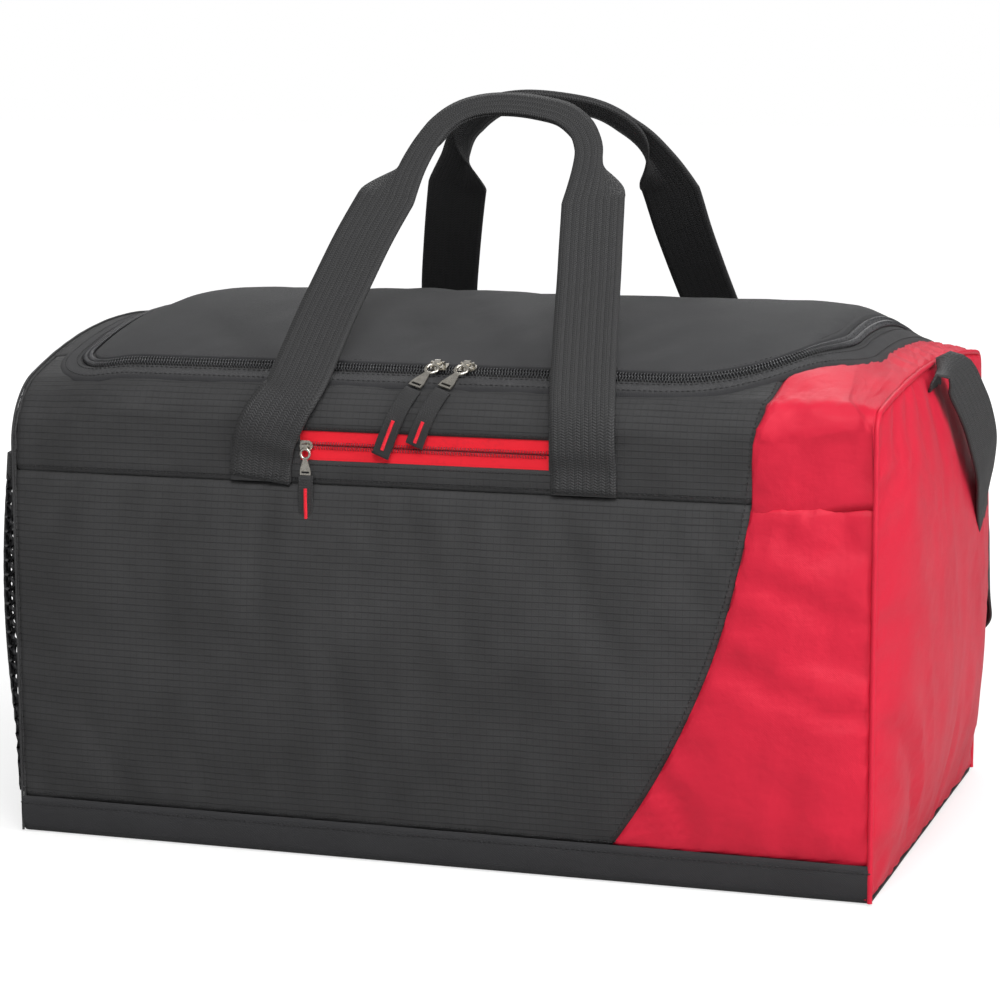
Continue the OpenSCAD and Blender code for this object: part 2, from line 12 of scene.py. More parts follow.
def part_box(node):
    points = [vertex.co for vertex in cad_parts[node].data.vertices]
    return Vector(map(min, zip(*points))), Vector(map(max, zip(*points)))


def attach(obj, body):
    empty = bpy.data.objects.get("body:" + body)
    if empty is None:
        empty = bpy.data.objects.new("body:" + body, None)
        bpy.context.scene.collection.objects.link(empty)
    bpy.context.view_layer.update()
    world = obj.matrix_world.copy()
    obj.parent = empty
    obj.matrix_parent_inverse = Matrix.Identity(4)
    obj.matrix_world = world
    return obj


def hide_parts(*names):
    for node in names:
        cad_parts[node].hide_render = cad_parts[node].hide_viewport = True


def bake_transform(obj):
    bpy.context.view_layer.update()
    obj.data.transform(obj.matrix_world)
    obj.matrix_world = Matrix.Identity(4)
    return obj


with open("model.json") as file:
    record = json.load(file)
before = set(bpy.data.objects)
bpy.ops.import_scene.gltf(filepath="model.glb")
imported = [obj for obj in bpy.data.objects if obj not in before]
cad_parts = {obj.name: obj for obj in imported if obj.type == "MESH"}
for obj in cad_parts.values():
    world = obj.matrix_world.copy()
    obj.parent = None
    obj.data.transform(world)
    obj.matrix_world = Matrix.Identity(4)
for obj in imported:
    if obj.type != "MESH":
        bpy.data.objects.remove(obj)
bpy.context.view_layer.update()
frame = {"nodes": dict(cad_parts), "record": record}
MM = 0.001


def low(node):
    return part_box(node)[0]


def high(node):
    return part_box(node)[1]


# Sizes read from the frame
HALF_L = high("end_panel_right").x
HALF_D = -low("front_pocket_panel").y
TRAY_H = high("base_panel").z
YOKE_Z = high("front_pocket_panel").z
CLOTH_T = high("end_panel_right").x - low("end_panel_right").x
SIDE_X = -low("front_pocket_panel").x
LID_UP = 1.7 * MM
CROWN = high("lid_panel").z - LID_UP
HALF_COIL = 3 * MM
ZIP_LEFT = low("zip_coil_outer").x + HALF_COIL
ZIP_RIGHT = high("zip_coil_outer").x - HALF_COIL
ZIP_FRONT = low("zip_coil_outer").y + HALF_COIL
HINGE_Y = high("lid_panel").y + 1 * MM
SEAM_X = high("front_pocket_panel").x
POCKET_X = (low("pocket_coil").x, high("pocket_coil").x)
POCKET_Z = (low("pocket_tape_lower").z - 0.4 * MM, high("pocket_tape_upper").z + 0.4 * MM)
PIVOT_Z = high("handle_feet").z

# Cross-section in the middle, at the red end and at the black end
ROLL = (30 * MM, 12 * MM, 46 * MM)
WALL = (270 * MM, 280 * MM, 250 * MM)
TOP = (CROWN, 302 * MM, 318 * MM)
BLEND_RIGHT, BLEND_LEFT = 218 * MM, 200 * MM
LEFT_R, RIGHT_R = 28 * MM, 92 * MM
FACING_EDGE = 17 * MM
SEAM_TOP_X = 213 * MM
SEAM_R = 454 * MM


def mix(a, b, t):
    return a + (b - a) * t


def ease(t):
    t = np.clip(t, 0.0, 1.0)
    return t * t * (3 - 2 * t)


def along(values, x):
    middle, right, left = values
    return (middle + (right - middle) * ease((x - BLEND_RIGHT) / (SIDE_X - BLEND_RIGHT))
            + (left - middle) * ease((-x - BLEND_LEFT) / (SIDE_X - BLEND_LEFT)))


def section(x):
    """Roll radius, wall height, crown, arch radius, turn of the roll and half width of the arch at x."""
    roll, wall, top = along(ROLL, x), along(WALL, x), along(TOP, x)
    rise, reach = top - wall, HALF_D - roll
    arch = (reach ** 2 + rise ** 2 - roll ** 2) / (2 * (rise - roll))
    turn = np.arccos(reach / (arch - roll))
    return roll, wall, top, arch, turn, arch * np.cos(turn)


def skin(x, p, up=0.0):
    """Points of the skin: p is 0 at the foot of the front, 1 and 2 at the roll's ends, 3 at the crown."""
    x, p, up = np.broadcast_arrays(*(np.asarray(value, float) for value in (x, p, up)))
    roll, wall, top, arch, turn, half = section(x)
    q = np.minimum(p, 6 - p)
    angle = (q - 1) * turn
    lean = np.arcsin(np.clip(-(3 - q) * half / arch, -1, 1))
    y = np.where(q <= 1, -HALF_D - up,
                 np.where(q <= 2, roll - HALF_D - (roll + up) * np.cos(angle), (arch + up) * np.sin(lean)))
    over = top - arch + (arch + up) * np.cos(lean)
    z = np.where(q <= 1, q * wall, np.where(q <= 2, wall + (roll + up) * np.sin(angle), over))
    return np.stack([x, np.where(p > 3, -y, y), z], -1)


def on_top(x, y):
    """Girth of the point of the top at x and y."""
    x, y = np.broadcast_arrays(np.asarray(x, float), np.asarray(y, float))
    roll, _, _, _, turn, half = section(x)
    a = -np.abs(y)
    edge = 1 + np.arccos(np.clip((roll - HALF_D - a) / roll, -1, 1)) / turn
    q = np.where(a >= -half, 3 + a / half, edge)
    return np.where(y > 0, 6 - q, q)


def on_wall(x, z):
    return z / along(WALL, x)


def ripple(u, v, size, seed):
    """Smooth repeatable noise of about -1 to 1 with bumps of the given size."""
    draw = np.random.default_rng(seed)
    total = 0
    for _ in range(8):
        angle, stretch, phase = draw.uniform(0, math.tau), draw.uniform(0.6, 1.5), draw.uniform(0, math.tau)
        travel = u * math.cos(angle) + v * math.sin(angle)
        total = total + np.sin(math.tau / size * stretch * travel + phase)
    return total / 5


def creases(u, v, size, seed):
    """Like ripple, but with narrow ridges between smooth hollows, as stiff cloth buckles."""
    return 1 - 2.2 * np.abs(np.tanh(ripple(u, v, size, seed)))


def normals(points):
    """Outward normals of a grid of points."""
    across = np.gradient(points, axis=1)
    upward = np.gradient(points, axis=0)
    n = np.cross(across, upward)
    return n / np.maximum(np.linalg.norm(n, axis=-1, keepdims=True), 1e-12)


def spaced(length, pitch=6 * MM, hem=(1.2 * MM, 2.6 * MM, 4.5 * MM)):
    """Fractions from 0 to 1 at about one pitch, closer together near both ends."""
    inner = np.linspace(hem[-1], length - hem[-1], max(2, int(length / pitch)))
    return np.concatenate([[0], hem[:-1], inner, length - np.array(hem[:-1][::-1]), [length]]) / length


def edge_fields(points):
    """For each side of a grid: how far every point is from it, and how far along it."""
    climb = np.linalg.norm(np.diff(points, axis=0), axis=-1).cumsum(0)
    climb = np.vstack([np.zeros((1, points.shape[1])), climb])
    run = np.linalg.norm(np.diff(points, axis=1), axis=-1).cumsum(1)
    run = np.hstack([np.zeros((points.shape[0], 1)), run])
    return {"foot": (climb, run), "head": (climb[-1] - climb, run),
            "left": (run, climb), "right": (run[:, -1:] - run, climb)}


def sew(points, sides, seed, tuck=1.5 * MM, pucker=0.5 * MM, wave=17 * MM):
    """Turns the named sides of a panel in to their seams and gathers the cloth beside them."""
    fields, lift = edge_fields(points), 0
    for k, side in enumerate(sides):
        away, run = fields[side]
        lift = lift - tuck * (1 - ease(away / (4.5 * MM)))
        gathers = ripple(run, 0.25 * away, wave, seed + k)
        lift = lift + pucker * gathers * np.exp(-away / (15 * MM)) * ease(away / (3 * MM))
    return points + normals(points) * lift[..., None]


def drape(points, pressure, growth, cap, frames=22):
    """Cloth simulation of a grid whose rim is sewn down. No point moves further than cap."""
    rows, columns = points.shape[:2]
    mesh = bpy.data.meshes.new("draping")
    mesh.from_pydata(points.reshape(-1, 3).tolist(), [], grid_faces(rows, columns))
    cloth = bpy.data.objects.new("draping", mesh)
    bpy.context.scene.collection.objects.link(cloth)
    fixed = np.zeros((rows, columns), bool)
    fixed[:2] = fixed[-2:] = True
    fixed[:, :2] = fixed[:, -2:] = True
    cloth.vertex_groups.new(name="sewn").add(np.flatnonzero(fixed.ravel()).tolist(), 1.0, "REPLACE")
    modifier = cloth.modifiers.new("cloth", "CLOTH")
    settings = modifier.settings
    settings.quality = 6
    settings.mass = 0.25
    settings.tension_stiffness = settings.compression_stiffness = 18
    settings.shear_stiffness = 8
    settings.bending_stiffness = 0.35
    settings.vertex_group_mass = "sewn"
    settings.use_pressure = True
    settings.uniform_pressure_force = pressure
    settings.shrink_min = -growth
    settings.effector_weights.gravity = 0
    modifier.collision_settings.use_collision = False
    for step in range(1, frames + 1):
        bpy.context.scene.frame_set(step)
    settled = cloth.evaluated_get(bpy.context.evaluated_depsgraph_get())
    co = np.array([v.co for v in settled.data.vertices]).reshape(points.shape)
    bpy.data.objects.remove(cloth)
    bpy.context.scene.frame_set(1)
    move = np.nan_to_num(co - points)
    length = np.maximum(np.linalg.norm(move, axis=-1, keepdims=True), 1e-9)
    return points + move / length * cap * np.tanh(length / cap)


def grid_faces(rows, columns, keep=None):
    faces = []
    for i in range(rows - 1):
        for j in range(columns - 1):
            if keep is None or keep[i, j]:
                k = i * columns + j
                faces.append((k, k + 1, k + columns + 1, k + columns))
    return faces


def apply_modifiers(obj):
    graph = bpy.context.evaluated_depsgraph_get()
    mesh = bpy.data.meshes.new_from_object(obj.evaluated_get(graph))
    obj.modifiers.clear()
    obj.data = mesh


def piece(name, points, faces, body, look, nodes=(), uv=None, thickness=0.0, bend=None):
    """A finished piece, attached to body; when bend, a (start, end) stretch, is given, the piece is left in
    place in the world and attached to no body.
    """
    mesh = bpy.data.meshes.new(name)
    mesh.from_pydata(np.asarray(points).reshape(-1, 3).tolist(), [], faces)
    if uv is not None:
        layer = mesh.uv_layers.new(name="metres")
        corners = np.zeros(len(mesh.loops), int)
        mesh.loops.foreach_get("vertex_index", corners)
        layer.data.foreach_set("uv", np.asarray(uv).reshape(-1, 2)[corners].ravel())
    obj = bpy.data.objects.new(name, mesh)
    bpy.context.scene.collection.objects.link(obj)
    if thickness:
        solid = obj.modifiers.new("solid", "SOLIDIFY")
        solid.thickness = abs(thickness)
        solid.offset = -1 if thickness > 0 else 0
        apply_modifiers(obj)
    obj.data.shade_smooth()
    obj.data.materials.clear()
    obj.data.materials.append(LOOKS[look])
    if bend:
        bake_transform(obj)
    else:
        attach(obj, body)
    if nodes:
        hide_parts(*nodes)
    return obj


def cloth_piece(name, points, body, look, nodes=(), keep=None, thickness=CLOTH_T * 0.8, bend=None, uv=None):
    if uv is None:
        climb, run = edge_fields(points)["foot"]
        uv = np.stack([run, climb], -1)
    faces = grid_faces(points.shape[0], points.shape[1], keep)
    return piece(name, points, faces, body, look, nodes, uv, thickness, bend)


def resample(line, pitch, measured=3):
    """Points at one pitch along a polyline whose first columns are places, and their arc lengths."""
    line = np.asarray(line, float)
    steps = np.diff(line[:, :measured], axis=0)
    length = np.concatenate([[0], np.linalg.norm(steps, axis=1).cumsum()])
    s = np.linspace(0, length[-1], max(2, int(round(length[-1] / pitch)) + 1))
    return np.stack([np.interp(s, length, line[:, k]) for k in range(line.shape[1])], 1), s


def smooth_line(points, count):
    """Catmull-Rom curve through points, with count samples per stretch."""
    p = np.asarray(points, float)
    p = np.vstack([2 * p[0] - p[1], p, 2 * p[-1] - p[-2]])
    out = []
    for i in range(1, len(p) - 2):
        t = np.linspace(0, 1, count, endpoint=False)[:, None]
        a, b, c, d = p[i - 1], p[i], p[i + 1], p[i + 2]
        out.append(0.5 * (2 * b + (c - a) * t + (2 * a - 5 * b + 4 * c - d) * t ** 2
                          + (3 * b - a - 3 * c + d) * t ** 3))
    return np.vstack(out + [p[-2][None]])


def unit(v):
    return v / np.maximum(np.linalg.norm(v, axis=-1, keepdims=True), 1e-12)


def stitch_row(line, facing, pitch=3.3 * MM, share=0.72, radius=0.32 * MM):
    """Verts and faces of a row of stitches lying on a line of points with facing directions."""
    both, _ = resample(np.hstack([line, facing]), pitch)
    centre, up = both[:, :3], unit(both[:, 3:])
    heading = unit(np.gradient(centre, axis=0))
    side = np.cross(heading, up)
    verts, faces = [], []
    for c, h, s, u in zip(centre, heading, side, up):
        base = len(verts)
        half = h * pitch * share / 2
        verts += [c - half - u * radius * 0.6, c + half - u * radius * 0.6]
        for end in (-0.55, 0.55):
            m = c + half * end + u * radius * 0.35
            verts += [m + s * radius, m + u * radius * 0.8, m - s * radius, m - u * radius]
        a, b = base + 2, base + 6
        for k in range(4):
            n = (k + 1) % 4
            faces += [(a + k, a + n, b + n, b + k), (base, a + n, a + k), (base + 1, b + k, b + n)]
    return verts, faces


def stitches(name, rows, body, look, nodes=(), **style):
    verts, faces = [], []
    for line, facing in rows:
        v, f = stitch_row(np.asarray(line, float), np.asarray(facing, float), **style)
        faces += [tuple(i + len(verts) for i in face) for face in f]
        verts += v
    return piece(name, verts, faces, body, look, nodes)


def raised(points, up):
    """A line of a grid's points with its facing directions, lifted off the cloth."""
    n = normals(points)
    return points + n * up, n


def seam_stitches(points, inset, side):
    """The topstitch row that runs beside one side of a sewn grid."""
    away, _ = edge_fields(points)[side]
    lifted, n = raised(points, 0.25 * MM)
    across_rows = side in ("foot", "head")
    line, facing = [], []
    for k in range(points.shape[1] if across_rows else points.shape[0]):
        distance = away[:, k] if across_rows else away[k]
        track = lifted[:, k] if across_rows else lifted[k]
        facings = n[:, k] if across_rows else n[k]
        order = np.argsort(distance)
        line.append([np.interp(inset, distance[order], track[order, c]) for c in range(3)])
        facing.append([np.interp(inset, distance[order], facings[order, c]) for c in range(3)])
    return np.array(line), np.array(facing)


# Materials ------------------------------------------------------------------------------------
class Graph:
    """Short forms for building a material's nodes."""

    def __init__(self, name):
        self.material = bpy.data.materials.new(name)
        self.material.use_nodes = True
        self.tree = self.material.node_tree
        self.shader = self.tree.nodes["Principled BSDF"]

    def add(self, kind, **inputs):
        node = self.tree.nodes.new(kind)
        for key, value in inputs.items():
            self.put(node, key, value)
        return node

    def put(self, node, key, value):
        place = node.inputs[key if isinstance(key, int) else key.replace("_", " ")]
        if isinstance(value, bpy.types.NodeSocket):
            self.tree.links.new(value, place)
        else:
            place.default_value = value

    def math(self, operation, *values):
        node = self.tree.nodes.new("ShaderNodeMath")
        node.operation = operation
        for k, value in enumerate(values):
            self.put(node, k, value)
        return node.outputs[0]

    def coordinate(self, kind="UV"):
        return self.add("ShaderNodeTexCoord").outputs[kind]

    def split(self):
        return self.add("ShaderNodeSeparateXYZ", Vector=self.coordinate()).outputs

    def noise(self, size, detail=3.0, kind="Object"):
        node = self.add("ShaderNodeTexNoise", Vector=self.coordinate(kind), Scale=1 / size, Detail=detail)
        return node.outputs["Fac"]

    def line(self, value, pitch, width):
        """1 on evenly spaced lines across value, 0 between them."""
        near = self.math("PINGPONG", value, pitch / 2)
        node = self.add("ShaderNodeMapRange", Value=near)
        node.interpolation_type = "SMOOTHSTEP"
        for key, number in (("From Min", 0.0), ("From Max", width), ("To Min", 1.0), ("To Max", 0.0)):
            node.inputs[key].default_value = number
        return node.outputs[0]

    def wave(self, value, pitch):
        return self.math("SINE", self.math("MULTIPLY", value, math.tau / pitch))

    def blend(self, share, one, two):
        node = self.tree.nodes.new("ShaderNodeMix")
        node.data_type = "RGBA"
        for key, value in ((0, share), (6, one), (7, two)):
            if isinstance(value, bpy.types.NodeSocket):
                self.tree.links.new(value, node.inputs[key])
            else:
                node.inputs[key].default_value = value
        return node.outputs[2]

    def bump(self, height, depth, below=None):
        node = self.add("ShaderNodeBump", Height=height, Strength=1.0, Distance=depth)
        if below is not None:
            self.put(node, "Normal", below)
        return node.outputs[0]

    def finish(self, **inputs):
        for key, value in inputs.items():
            self.put(self.shader, key, value)
        return self.material


def shade(colour, factor):
    return (colour[0] * factor, colour[1] * factor, colour[2] * factor, 1.0)


def ripstop(name, colour):
    """Plain weave with a raised grid of thicker threads about 4 mm apart."""
    g = Graph(name)
    u, v, _ = g.split()
    upright = g.math("MULTIPLY", g.line(u, 4.2 * MM, 0.5 * MM), 0.4)
    threads = g.math("MAXIMUM", g.line(v, 4.2 * MM, 0.6 * MM), upright)
    weave = g.math("MULTIPLY", g.wave(u, 0.9 * MM), g.wave(v, 0.9 * MM))
    height = g.math("ADD", g.math("MULTIPLY", threads, 0.9), g.math("MULTIPLY", weave, 0.35))
    patches = g.noise(45 * MM)
    base = g.blend(patches, shade(colour, 0.7), shade(colour, 1.5))
    # The grid threads are darker, more so in random patches.
    dark_grid_patches = g.math("MULTIPLY", threads, g.math("MULTIPLY", g.noise(9 * MM), 1.1))
    tone = g.blend(dark_grid_patches, base, shade(colour, 0.35))
    soft = g.bump(g.noise(20 * MM, 4), 0.9 * MM)
    return g.finish(Base_Color=tone, Roughness=g.math("ADD", 0.56, g.math("MULTIPLY", patches, 0.16)),
                    Normal=g.bump(height, 0.2 * MM, soft), Sheen_Weight=0.08, Sheen_Roughness=0.4,
                    Specular_IOR_Level=0.32)


def plain_weave(name, colour, pitch=1.1 * MM, roughness=0.68, sheen=0.08, depth=0.14 * MM):
    """Matt cloth with a fine even weave."""
    g = Graph(name)
    u, v, _ = g.split()
    weave = g.math("MULTIPLY", g.wave(u, pitch), g.wave(v, pitch))
    fleck = g.noise(2.2 * MM, 2)
    tone = g.blend(g.noise(35 * MM), shade(colour, 0.8), shade(colour, 1.3))
    tone = g.blend(g.math("MULTIPLY", fleck, 0.35), tone, shade(colour, 1.9))
    soft = g.bump(g.noise(18 * MM, 4), 0.45 * MM)
    rough = g.math("ADD", roughness - 0.06, g.math("MULTIPLY", fleck, 0.12))
    return g.finish(Base_Color=tone, Roughness=rough, Normal=g.bump(weave, depth, soft),
                    Sheen_Weight=sheen, Sheen_Roughness=0.4, Specular_IOR_Level=0.3)


def coated_nylon(name, colour):
    """Glossy coated cloth: fine weave under a soft shine, with small creases."""
    g = Graph(name)
    u, v, _ = g.split()
    weave = g.math("MULTIPLY", g.wave(u, 1.0 * MM), g.wave(v, 1.0 * MM))
    crease = g.noise(22 * MM, 5)
    tone = g.blend(g.noise(60 * MM), shade(colour, 0.86), shade(colour, 1.12))
    soft = g.bump(crease, 1.3 * MM)
    fine = g.bump(g.noise(6 * MM, 4), 0.25 * MM, soft)
    return g.finish(Base_Color=tone, Roughness=g.math("ADD", 0.34, g.math("MULTIPLY", crease, 0.16)),
                    Normal=g.bump(weave, 0.05 * MM, fine), Sheen_Weight=0.06, Sheen_Roughness=0.3,
                    Sheen_Tint=(1.0, 0.6, 0.7, 1.0), Specular_IOR_Level=0.25)


def ribbed_webbing(name, colour, rib=1.7 * MM):
    """Webbing: cross ribs cut by lengthwise rows every 2.4 mm."""
    g = Graph(name)
    u, v, _ = g.split()
    row = g.line(u, 2.4 * MM, 0.5 * MM)
    slant = g.math("ADD", v, g.math("MULTIPLY", g.math("PINGPONG", u, 2.4 * MM), 0.5))
    ribs = g.math("ABSOLUTE", g.wave(slant, rib * 2))
    height = g.math("SUBTRACT", ribs, g.math("MULTIPLY", row, 0.7))
    # The tone follows the rib height: painted shade darkens the grooves between the ribs.
    tone = g.blend(g.math("MULTIPLY", ribs, 0.5), shade(colour, 0.7), shade(colour, 1.3))
    return g.finish(Base_Color=tone, Roughness=g.math("ADD", 0.5, g.math("MULTIPLY", g.noise(8 * MM), 0.18)),
                    Normal=g.bump(height, 0.25 * MM), Sheen_Weight=0.05, Sheen_Roughness=0.35,
                    Specular_IOR_Level=0.4)


def moulded(name, colour, roughness):
    g = Graph(name)
    grain = g.noise(0.8 * MM, 2)
    tone = g.blend(g.noise(12 * MM), shade(colour, 0.8), shade(colour, 1.3))
    return g.finish(Base_Color=tone, Roughness=g.math("ADD", roughness, g.math("MULTIPLY", grain, 0.12)),
                    Normal=g.bump(grain, 0.03 * MM))


def plated(name, colour):
    """Nickel plate with faint casting grain and dull patches."""
    g = Graph(name)
    patches = g.noise(3 * MM, 3)
    tone = g.blend(patches, shade(colour, 0.75), shade(colour, 1.2))
    rough = g.math("ADD", 0.16, g.math("MULTIPLY", patches, 0.22))
    return g.finish(Base_Color=tone, Metallic=1.0, Roughness=rough,
                    Normal=g.bump(g.noise(1.2 * MM, 3), 0.04 * MM))


def thread(name, colour):
    g = Graph(name)
    tone = g.blend(g.noise(1.0 * MM, 2), shade(colour, 0.7), shade(colour, 1.4))
    return g.finish(Base_Color=tone, Roughness=0.5, Sheen_Weight=0.1,
                    Normal=g.bump(g.noise(0.6 * MM, 2), 0.05 * MM))


BLACK = (0.038, 0.038, 0.039)
JET = (0.037, 0.037, 0.038)
RED = (0.72, 0.018, 0.05)
LOOKS = {
    "black_ripstop": ripstop("black_ripstop", BLACK),
    "base_cloth": plain_weave("base_cloth", (0.029, 0.029, 0.031)),
    "red_nylon": coated_nylon("red_nylon", RED),
    "webbing": ribbed_webbing("webbing", JET),
    "binding": plain_weave("binding", JET, 1.6 * MM, 0.6, 0.08, 0.2 * MM),
    "lining": plain_weave("lining", (0.02, 0.02, 0.022), 1.0 * MM, 0.5, 0.1, 0.08 * MM),
    "mesh": thread("mesh", (0.012, 0.012, 0.014)),
    "board": moulded("board", (0.04, 0.04, 0.045), 0.5),
    "zip_tape": plain_weave("zip_tape", JET, 0.9 * MM, 0.6, 0.15, 0.12 * MM),
    "zip_coil": moulded("zip_coil", (0.045, 0.045, 0.048), 0.22),
    "red_tape": plain_weave("red_tape", (0.86, 0.010, 0.026), 0.9 * MM, 0.5, 0.2, 0.12 * MM),
    "red_coil": moulded("red_coil", (0.34, 0.035, 0.05), 0.3),
    "buckle": moulded("buckle", JET, 0.35),
    "nickel": plated("nickel", (0.62, 0.59, 0.53)),
    "red_thread": thread("red_thread", (0.86, 0.012, 0.035)),
    "black_thread": thread("black_thread", (0.010, 0.010, 0.011)),
}


def finish_of(node_name):
    return [row["material_slot"] for row in frame["record"]["subparts"] if row["node"] == node_name][0]


def dress_cad_nodes():
    """Every CAD node gets its material, and the metal ones softened edges."""
    for name, obj in frame["nodes"].items():
        obj.data.materials.clear()
        obj.data.materials.append(LOOKS[finish_of(name)])
        if finish_of(name) in ("nickel", "buckle"):
            edge = obj.modifiers.new("edge", "BEVEL")
            edge.width = 0.22 * MM
            edge.segments = 2
            edge.limit_method = "ANGLE"
            obj.data.shade_smooth()
            obj.modifiers.new("even", "WEIGHTED_NORMAL")


# Lower walls ----------------------------------------------------------------------------------
SEAM_CENTRE_Z = 292 * MM
SEAM_CENTRE_X = SEAM_X - math.sqrt(SEAM_R ** 2 - (SEAM_CENTRE_Z - YOKE_Z) ** 2)


def seam_at(z):
    """Where the curved seam between black and red is at height z."""
    return SEAM_CENTRE_X + np.sqrt(SEAM_R ** 2 - (SEAM_CENTRE_Z - z) ** 2)


def wall_bulge(x, z, seed):
    """How far the lower walls stand out: a soft belly with shallow folds, nothing at the seams."""
    climb = np.clip((z - TRAY_H) / (YOKE_Z - TRAY_H), 0, 1)
    hold = np.sin(math.pi * climb) ** 0.8 * (1 - np.abs(x / HALF_L) ** 5)
    folds = 1.7 * ripple(x, 1.6 * z, 110 * MM, seed) + 0.6 * ripple(x, 1.4 * z, 42 * MM, seed + 1)
    return (5.5 + folds) * MM * hold


def to_back(points):
    """The same grid on the back of the bag, with its columns turned round to face outwards."""
    return (points * np.array([1, -1, 1]))[:, ::-1]


def wall_grid(x_low, x_high, seed):
    """Grid of a lower wall between two edges given as functions of height."""
    z = mix(TRAY_H, YOKE_Z, spaced(YOKE_Z - TRAY_H))
    length = x_high(z[0]) - x_low(z[0])
    t = spaced(max(length, 0.07))
    x = mix(x_low(z)[:, None], x_high(z)[:, None], t[None])
    heights = np.repeat(z[:, None], len(t), 1)
    grid = skin(x, on_wall(x, heights), wall_bulge(x, heights, seed))
    return grid


def left_edge(z):
    return np.full_like(np.asarray(z, float), -HALF_L + 0.8 * MM)


def right_edge(z):
    return np.full_like(np.asarray(z, float), HALF_L - 0.8 * MM)


def build_walls():
    for side, seed in (("front", 3), ("back", 11)):
        black = drape(wall_grid(left_edge, seam_at, seed), 1.2, 0.006, 7 * MM)
        red = wall_grid(seam_at, right_edge, seed)
        fields = edge_fields(red)
        away = np.minimum(np.minimum(fields["left"][0], fields["right"][0]), fields["foot"][0])
        buckles = 1.4 * creases(red[..., 0], 0.4 * red[..., 2], 48 * MM, seed + 2) * ease(away / (25 * MM))
        red = drape(red + normals(red) * (buckles * MM)[..., None], 1.6, 0.014, 8 * MM)
        black = sew(black, ("foot", "head", "left", "right"), seed, pucker=0.35 * MM)
        red = sew(red, ("foot", "head", "left", "right"), seed + 5, pucker=0.8 * MM)
        rows = [seam_stitches(black, 4 * MM, "right"), seam_stitches(black, 4 * MM, "foot")]
        if side == "back":
            black, red = to_back(black), to_back(red)
            rows = [(line * [1, -1, 1], facing * [1, -1, 1]) for line, facing in rows]
        black_node = "front_pocket_panel" if side == "front" else "back_panel"
        cloth_piece(side + "_wall_black", black, "bag_shell", "black_ripstop", (black_node,),
                    uv=flat_uv(black))
        cloth_piece(side + "_wall_red", red, "bag_shell", "red_nylon", (side + "_corner_panel",),
                    uv=flat_uv(red))
        stitches(side + "_wall_stitches", rows, "bag_shell", "black_thread")


def flat_uv(points):
    return points[..., [0, 2]]


def build_base():
    """Base tray: a band up the front and the back with the floor between, rounded where it turns."""
    turn_r, dip = 7 * MM, 1.0 * MM
    half = HALF_D + 0.6 * MM
    angles = np.linspace(0, math.pi / 2, 7)[1:-1]
    front = [(-half, TRAY_H + 1.2 * MM), (-half - 0.8 * MM, TRAY_H - 1.5 * MM),
             (-half - 0.8 * MM, TRAY_H / 2), (-half, turn_r)]
    front += [(-half + turn_r - turn_r * math.cos(a), turn_r - turn_r * math.sin(a)) for a in angles]
    floor = [(mix(-half + turn_r, half - turn_r, k / 24), 0.0) for k in range(25)]
    profile = np.array(front + floor + [(-y, z) for y, z in front[::-1]])
    columns = mix(-HALF_L + 1 * MM, HALF_L - 1 * MM, spaced(2 * HALF_L))
    points = np.stack(np.broadcast_arrays(columns[None], profile[:, :1], profile[:, 1:]), -1)
    wobble = 0.6 * MM * ripple(points[..., 0], points[..., 1], 60 * MM, 21)
    upright = points[..., 2] > turn_r
    points[..., 1] += np.where(upright, np.sign(points[..., 1]) * wobble, 0)
    points[..., 2] += np.where(np.abs(points[..., 1]) < half - turn_r, dip * 0.6 * np.abs(wobble) / MM, 0)
    points = points[:, ::-1]
    cloth_piece("base_tray", points, "bag_shell", "base_cloth", ("base_panel",), thickness=1.6 * MM)
    rows = []
    for sign in (-1, 1):
        line = [(x_here, sign * (half + 1.4 * MM), TRAY_H - 3 * MM) for x_here in columns]
        rows.append((line, np.tile([0.0, float(sign), 0.0], (len(columns), 1))))
    stitches("base_stitches", rows, "bag_shell", "black_thread")


def build_floor_lining():
    y = mix(-HALF_D + 8 * MM, HALF_D - 8 * MM, np.linspace(0, 1, 60))
    xs = mix(-HALF_L + 12 * MM, HALF_L - 12 * MM, np.linspace(0, 1, 96))
    gx, gy = np.meshgrid(xs, y)
    z = high("base_lining").z + 0.5 * MM * ripple(gx, gy, 50 * MM, 31)
    cloth_piece("floor_lining", np.stack([gx, gy, z], -1), "bag_shell", "lining", ("base_lining",),
                thickness=0.6 * MM)


# Main zip -------------------------------------------------------------------------------------
def zip_plan(pitch):
    """Plan points of the zip's centre line, from its left end round to its right, and the ways out."""
    left = [((ZIP_LEFT, mix(HINGE_Y - 1 * MM, ZIP_FRONT + LEFT_R, k / 60)), (-1, 0)) for k in range(60)]
    turn = [math.pi / 2 * k / 40 for k in range(41)]
    near = [((ZIP_LEFT + LEFT_R - LEFT_R * math.cos(a), ZIP_FRONT + LEFT_R - LEFT_R * math.sin(a)),
             (-math.cos(a), -math.sin(a))) for a in turn]
    far = [((ZIP_RIGHT - RIGHT_R + RIGHT_R * math.sin(a), ZIP_FRONT + RIGHT_R - RIGHT_R * math.cos(a)),
            (math.sin(a), -math.cos(a))) for a in turn]
    right = [((ZIP_RIGHT, mix(ZIP_FRONT + RIGHT_R, HINGE_Y - 1 * MM, k / 60)), (1, 0)) for k in range(1, 61)]
    rows = np.array([p + n for p, n in left + near + far + right])
    even, _ = resample(rows, pitch, 2)
    return even[:, :2], unit(even[:, 2:])


def zip_points(plan, e, up):
    """Points e outside the zip's centre line, up off the skin."""
    xy = plan[0] + plan[1] * e
    return skin(xy[:, 0], on_top(xy[:, 0], xy[:, 1]), up)


def zip_sheet(plan, profile):
    """Grid along the zip through a profile of (e, up), outer edge first."""
    return np.stack([zip_points(plan, e, up) for e, up in profile])


